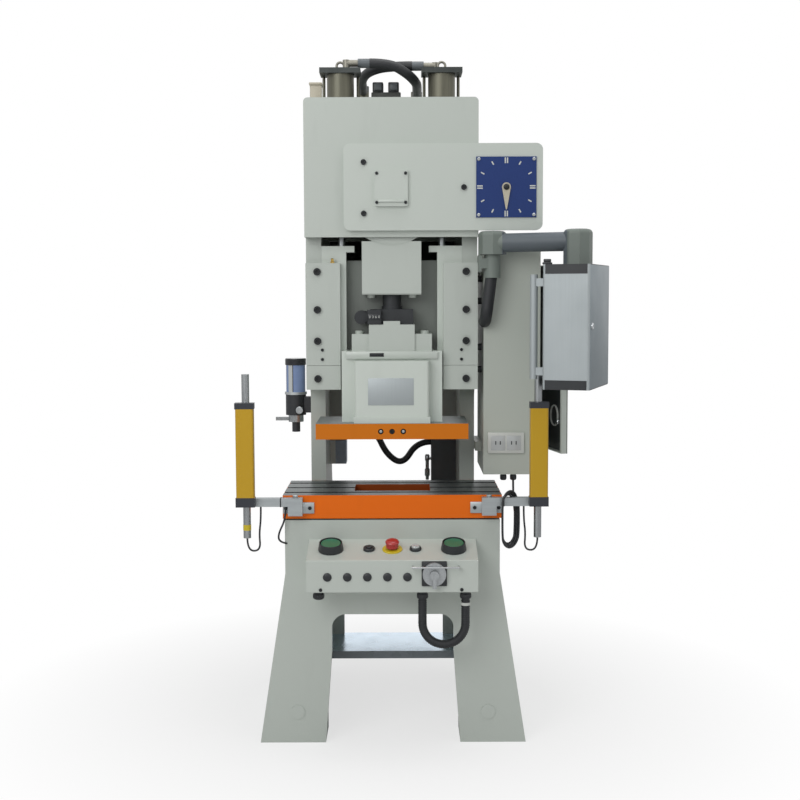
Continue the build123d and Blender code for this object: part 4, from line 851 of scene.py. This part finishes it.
quarters = repeated(together([mark(0.018, -0.0035), mark(0.018, 0.0035)]), *at_hours((0, 3, 6, 9)))
others = repeated(mark(0.012), *at_hours(hour for hour in range(12) if hour % 3))
finished(together([quarters, others]), "dial_marks", white_plastic)

corners = [(x, z) for x in (-0.088, 0.088) for z in (-0.088, 0.088)]
dial_screws = repeated(turned(SCREW, 20), *[on_face(DIAL[0] + x, DIAL[2] + z, DIAL[1]) for x, z in corners])
finished(dial_screws, "dial_screws", steel)
HUB = [(0.0095, 0), (0.0095, 0.003), (0.007, 0.005), (0.003, 0.0056)]
hub = settle(turned(HUB, 32), *on_face(DIAL[0], DIAL[2], -0.33))
finished(hub, "pointer_hub", black_steel, body="pointer")

# %% Folded lip under the cover plate
plate_lip = slab((-0.042, -0.3375, 1.7405), (0.042, -0.331, 1.7475))
finished(plate_lip, "cover_plate_lip", cover_cream, 0.0015)

# %% [markdown]
# ## The slide
# The nose of the slide carries a bare brushed plate, and the plate under it takes three clamp screws.
# The counter of the height adjustment shows its setting in white figures behind a dark window. Text is
# turned into a mesh first, and only then gets its place.

# %% Plates and clamp screws
nose = slab((-0.077, -0.3465, 1.093), (0.07, -0.3445, 1.18))
finished(nose, "nose_plate", aluminium, 0.0006, body="slide")
lip = slab((-0.1492, -0.3105, 1.2395), (0.1492, -0.2985, 1.2645))
finished(lip, "slide_lip", cover_cream, 0.004, body="slide")
dark_plate = slab((-0.072, -0.312, 1.2475), (-0.026, -0.309, 1.2592))
finished(dark_plate, "setting_plate", black_steel, 0.0004, body="slide")

SHANK_Z, SHANK_FRONT_Y, SHANK_PITCH = 1.01, -0.362, 0.036
left, middle, right = [on_face(SHANK_PITCH * step, SHANK_Z, SHANK_FRONT_Y) for step in (-1, 0, 1)]
CLAMP_SCREW = [(0.0086, -0.02), (0.0086, 0.0), (0.0074, 0.0022), (0.0045, 0.0022), (0.0045, -0.003)]
clamp_screws = repeated(turned(CLAMP_SCREW, 32), left, middle, right)
finished(clamp_screws, "shank_clamp_screws", black_steel, body="slide")
BRIGHT_END = [(0.0052, -0.004), (0.0052, 0.0012), (0.0042, 0.0024), (0.0022, 0.0026)]
screw_ends = repeated(turned(BRIGHT_END, 24), left, right)
finished(screw_ends, "shank_screw_ends", bright_steel, body="slide")

# %% Counter and grease nipple
FIGURE_H, FIGURE_X, FIGURE_PITCH, FIGURE_Z = 0.011, -0.0708, 0.0099, 1.3755
window = slab((-0.077, -0.3035, 1.3665), (-0.035, -0.3015, 1.3845))
finished(window, "counter_window", black_plastic, 0.0006, body="slide")
figures = []
for place, figure in enumerate("0360"):
    bpy.ops.object.text_add()
    text = bpy.context.object
    text.data.body, text.data.size, text.data.extrude = figure, FIGURE_H, 0.0001
    text.data.align_x = text.data.align_y = "CENTER"
    bpy.ops.object.convert(target="MESH")
    figures.append(settle(bpy.context.object, *on_face(FIGURE_X + FIGURE_PITCH * place, FIGURE_Z, -0.3037)))
finished(together(figures), "counter_figures", white_plastic, body="slide")

NIPPLE = [(0.0075, 0), (0.0075, 0.005), (0.005, 0.006), (0.005, 0.014), (0.003, 0.016)]
nipple = settle(turned(NIPPLE, 6), (-0.193, -0.256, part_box("gib_plates")[1].z))
finished(nipple, "grease_nipple", brass)

# %% [markdown]
# ## Valve block and cable sleeve
# Two solenoid valves stand on the crown between the balance cylinders. Under the elbow of the pendant's
# arm a black sleeve takes the cables back into the cabinet. A bent tube is quickly made by hand: draw a
# ring out straight, then spin its end ring round a point beside it.

# %% Solenoid valves on the crown
CROWN_Z, VALVE_PITCH = 2.065, 0.052
valve_body = slab((-0.066, -0.132, CROWN_Z), (0.032, -0.068, CROWN_Z + 0.052))
finished(valve_body, "valve_body", iron, 0.003)
coil = slab((-0.062, -0.128, CROWN_Z + 0.052), (-0.026, -0.072, CROWN_Z + 0.086))
coils = repeated(coil, moved(), moved(VALVE_PITCH))
finished(coils, "valve_coils", black_plastic, 0.004)
valve_plug = slab((-0.056, -0.137, CROWN_Z + 0.058), (-0.032, -0.128, CROWN_Z + 0.08))
valve_plugs = repeated(valve_plug, moved(), moved(VALVE_PITCH))
finished(valve_plugs, "valve_plugs", motor_grey, 0.002)

junction = slab((-0.277, -0.03, 2.062), (-0.238, 0.03, 2.158))
lid = slab((-0.28, -0.033, 2.158), (-0.235, 0.033, 2.167))
finished(together([junction, lid]), "crown_junction_box", pointer_beige, 0.003)

# %% Sleeve from the elbow to the cabinet
SLEEVE_R, SLEEVE_DROP, SLEEVE_BEND, SLEEVE_LEAN = 0.0195, 0.098, 0.046, 7
ELBOW_AT = (0.32, -0.312, 1.502)
bpy.ops.mesh.primitive_circle_add(vertices=32, radius=SLEEVE_R, fill_type="NGON", location=(0, 0, 0))
sleeve = bpy.context.object
bpy.ops.object.mode_set(mode="EDIT")
bpy.ops.mesh.select_all(action="SELECT")
bpy.ops.mesh.extrude_region_move(TRANSFORM_OT_translate={"value": (0, 0, -SLEEVE_DROP)})
bpy.ops.mesh.spin(steps=12, angle=radians(-90), center=(0, SLEEVE_BEND, -SLEEVE_DROP), axis=(1, 0, 0))
bpy.ops.mesh.select_all(action="SELECT")
bpy.ops.mesh.remove_doubles(threshold=1e-6)
bpy.ops.mesh.normals_make_consistent(inside=False)
bpy.ops.object.mode_set(mode="OBJECT")
settle(sleeve, ELBOW_AT, (0, SLEEVE_LEAN, 0))
print("sleeve ends at", [round(c, 3) for c in max((v.co for v in sleeve.data.vertices), key=lambda co: co.y)])
finished(sleeve, "cable_sleeve", rubber)

# %% [markdown]
# ## Light curtains
# Each curtain's arm is held to the bolster by a clamp: a flange with two socket screws at the back, a
# block, and one hexagon bolt that pinches the arm from above. Cable ties hold the leads to the arm.

# %% Clamp flanges, bolts and ties
BOLSTER_FRONT, POST_Y, FLANGE_T = -0.4, -0.418, 0.006
SIDES = (-1, 1)
HEX = [(0.0095, 0), (0.0095, 0.007), (0.0078, 0.0082)]
SOCKET = [(0.0058, 0), (0.0058, 0.0055), (0.005, 0.0062), (0.003, 0.0062), (0.003, 0.003)]

flange = slab((-0.05, BOLSTER_FRONT - FLANGE_T, 0.752), (0.05, BOLSTER_FRONT, 0.788))
flanges = repeated(flange, *[moved(side * 0.299) for side in SIDES])
finished(flanges, "clamp_flanges", arm_aluminium, 0.001)
pinch_bolts = repeated(turned(HEX, 6), *[moved(side * 0.308, POST_Y, 0.805) for side in SIDES])
finished(pinch_bolts, "clamp_bolts", steel, 0.0005)
screw_places = [on_face(side * x, 0.77, BOLSTER_FRONT - FLANGE_T) for side in SIDES for x in (0.2625, 0.3395)]
flange_screws = repeated(turned(SOCKET, 24), *screw_places)
finished(flange_screws, "clamp_screws", black_steel)
tie = slab((-0.002, -0.431, 0.777), (0.002, -0.405, 0.806))
ties = repeated(tie, *[moved(side * x) for side in SIDES for x in (0.354, 0.438)])
finished(ties, "cable_ties", black_plastic, 0.0006)

TAPE = [(0.0127, 0), (0.0127, 0.018), (0.0119, 0.018), (0.0119, 0)]
tape = settle(turned(TAPE, 32, hollow=True), (-0.462, POST_Y, 0.702))
finished(tape, "post_tape", yellow_plastic)

# %% [markdown]
# ## Cabinet and pendant
# The cabinet has a pale double socket low on its front. The pendant is an aluminium housing between two
# black end frames, which are the same rounded shape, a hair larger than the box and closed at the end.

# %% Socket plate
SOCKET_PITCH, PIN_PITCH = 0.052, 0.015
socket = slab((0.3135, -0.2695, 0.9255), (0.4335, -0.2605, 0.9955))
finished(socket, "socket_frame", white_plastic, 0.004)
module = slab((0.324, -0.2712, 0.9365), (0.371, -0.269, 0.9845))
modules = repeated(module, moved(), moved(SOCKET_PITCH))
finished(modules, "socket_modules", lens_plastic, 0.0015)
slot = slab((0.338, -0.2716, 0.955), (0.3415, -0.27, 0.967))
slots = repeated(slot, *[moved(x) for x in (0, PIN_PITCH, SOCKET_PITCH, SOCKET_PITCH + PIN_PITCH)])
finished(slots, "socket_slots", black_plastic, 0.0004)

# %% Ring and latch inside the door
PAN_DEPTH = 0.012
RING = [(0.036, 0), (0.036, 0.004), (0.0345, 0.0055), (0.0325, 0.004), (0.0325, 0)]
LATCH = [(0.009, 0), (0.009, 0.006), (0.0075, 0.0085), (0.0045, 0.0085)]


def on_door(piece, along, z):
    """Stands a turned piece on the inside of the door, at a distance from its hinge."""
    turn = radians(DOOR_TURN)
    x = DOOR_HINGE[0] + along * sin(turn) + PAN_DEPTH * cos(turn)
    y = DOOR_HINGE[1] - along * cos(turn) + PAN_DEPTH * sin(turn)
    return settle(settle(piece, turn=(0, -90, 0)), (x, y, z), (0, 0, DOOR_TURN))


ring = on_door(turned(RING, 48, hollow=True), 0.195, 1.039)
finished(ring, "door_ring", white_plastic, body="door")
latch = on_door(turned(LATCH, 24), 0.235, 1.02)
finished(latch, "door_latch", bright_steel, body="door")

# %% End frames, gland, side door and lock of the pendant
BOX_X, BOX_Y, BOX_TURN = 0.5777, -0.4417, -20
HALF_W, HALF_L, TOP_FACE_Z = 0.0725, 0.1525, 1.537
FRAME_EDGE, FRAME_CORNER = 0.0005, 0.0108


def on_pendant(piece):
    """Puts a piece that was made round the box's own axis into the box's place and turn."""
    return settle(piece, (BOX_X, BOX_Y, 0), (0, 0, BOX_TURN))


def end_frame(low_z, high_z):
    """A rounded frame, a hair larger than the box it closes."""
    out_w, out_l = HALF_W + FRAME_EDGE, HALF_L + FRAME_EDGE
    frame_slab = slab((-out_w, -out_l, low_z), (out_w, out_l, high_z))
    bpy.ops.object.mode_set(mode="EDIT")
    bpy.ops.mesh.select_mode(type="EDGE")
    bpy.ops.mesh.select_all(action="DESELECT")
    bpy.ops.object.mode_set(mode="OBJECT")
    mesh = frame_slab.data
    for line in mesh.edges:
        low, high = (mesh.vertices[end].co for end in line.vertices)
        line.select = abs(low.z - high.z) > FRAME_EDGE
    bpy.ops.object.mode_set(mode="EDIT")
    bpy.ops.mesh.bevel(offset=FRAME_CORNER, segments=4)
    bpy.ops.object.mode_set(mode="OBJECT")
    return on_pendant(frame_slab)


end_frames = together([end_frame(1.158, 1.187), end_frame(1.508, 1.5371)])
finished(end_frames, "pendant_end_frames", black_plastic, body="pendant")
side_door = on_pendant(slab((HALF_W - 0.004, -HALF_L + 0.006, 1.16), (HALF_W + 0.0009, HALF_L - 0.006, 1.535)))
finished(side_door, "pendant_side_door", side_aluminium_painted_shade, 0.0007, body="pendant")
knob_foot = slab((-0.078, -0.136, TOP_FACE_Z), (-0.052, -0.11, TOP_FACE_Z + 0.0065))
knob_head = slab((-0.075, -0.133, TOP_FACE_Z + 0.0065), (-0.055, -0.113, TOP_FACE_Z + 0.0165))
knob = on_pendant(together([knob_foot, knob_head]))
finished(knob, "pendant_gland", black_plastic, 0.002, body="pendant")
LOCK = [(0.0105, 0), (0.0105, 0.004), (0.0085, 0.0062), (0.004, 0.0062), (0.004, 0.003)]
lock = on_pendant(settle(turned(LOCK, 32), (HALF_W, -0.128, 1.351), (0, 90, 0)))
finished(lock, "pendant_lock", bright_steel, body="pendant")

# %% [markdown]
# ## Lubricator and throat
# The hand pump has a small bright gauge, and in the throat a quick coupling hangs from the box on the
# right. Both are turned pieces.

# %% Gauge and coupling
GAUGE = [(0.0125, 0), (0.0125, 0.004), (0.011, 0.0055), (0.0085, 0.0055), (0.0085, 0.0035)]
gauge = settle(turned(GAUGE, 36), *on_face(-0.319, 1.053, -0.076))
finished(gauge, "pump_gauge", bright_steel)
COUPLING = [(0.006, 0.863), (0.0085, 0.858), (0.0085, 0.842), (0.0065, 0.838), (0.0065, 0.812), (0.0095, 0.808),
            (0.0095, 0.786), (0.006, 0.78), (0.006, 0.769)]
coupling = settle(turned(COUPLING, 32), (0.125, 0.21, 0))
holder = slab((0.125, 0.206, 0.843), (0.1402, 0.214, 0.853))
finished(together([coupling, holder]), "air_coupling", steel, 0.0005)

# %% [markdown]
# ## The studio
# A pale floor, a white surround and three large soft lamps. The surround is white only for camera,
# glossy and transmitted rays: what lights the machine is a quieter grey, so paint isn't bleached. The
# floor fades to the same white with distance, and keeps the shadow close to the machine.

# %% Floor
FLOOR_GREY, FADE_FROM, FADE_TO, WHITE_NEAR = 0.86, 0.55, 1.5, 0.68
bpy.ops.mesh.primitive_plane_add(size=60, location=(0, 0, 0))
floor = bpy.context.object
floor.name = "floor"
ground = Shader("floor_white")
pale = ground.node("BsdfDiffuse", None, {"Color": (FLOOR_GREY, FLOOR_GREY, FLOOR_GREY, 1)})
glow = ground.node("Emission", None, {"Color": (1, 1, 1, 1), "Strength": 1.0})
in_view = ground.node("LightPath", out="Is Camera Ray")
far = ground.node("VectorMath", {"operation": "LENGTH"}, {0: ground.at}, out="Value")
fade = ground.clamp(ground.spread(far, FADE_FROM, FADE_TO))
glowing = in_view * (fade * (1 - WHITE_NEAR) + WHITE_NEAR)
ground.output(ground.node("MixShader", None, {0: glowing, 1: pale, 2: glow}))
floor.data.materials.append(ground.data)
print("the floor is white from", FADE_TO, "m on")

# %% Surround
QUIET = 0.34
sky = Shader("studio", bpy.data.worlds, "OutputWorld")
seen, through, glossy = [sky.node("LightPath", out=f"Is {kind} Ray")
                         for kind in ("Camera", "Transmission", "Glossy")]
white = sky.maths("MAXIMUM", sky.maths("MAXIMUM", seen, through), glossy)
strength = sky.maths("MULTIPLY_ADD", white, 1 - QUIET, QUIET)
sky.output(sky.node("Background", None, {"Color": (1, 1, 1, 1), "Strength": strength}))
bpy.context.scene.world = sky.data
print("the surround lights with", QUIET, "and shows as 1")


# %% Lamps and view
def lamp(name, place, aim, size, power):
    """A square soft lamp that looks at a point."""
    bpy.ops.object.light_add(type="AREA", location=place)
    light = bpy.context.object
    light.name = name
    light.data.size = size
    light.data.energy = power
    light.rotation_euler = (Vector(aim) - Vector(place)).to_track_quat("-Z", "Y").to_euler()
    print(name, power, "W")


lamp("key", (-2.0, -3.9, 3.2), (0, 0, 1.1), 2.8, 72)
lamp("top", (0.6, -0.6, 4.6), (0, -0.1, 1.0), 2.6, 45)
lamp("fill", (3.4, -2.6, 2.2), (0, 0, 1.1), 2.4, 9)

bpy.context.scene.view_settings.view_transform = "Standard"
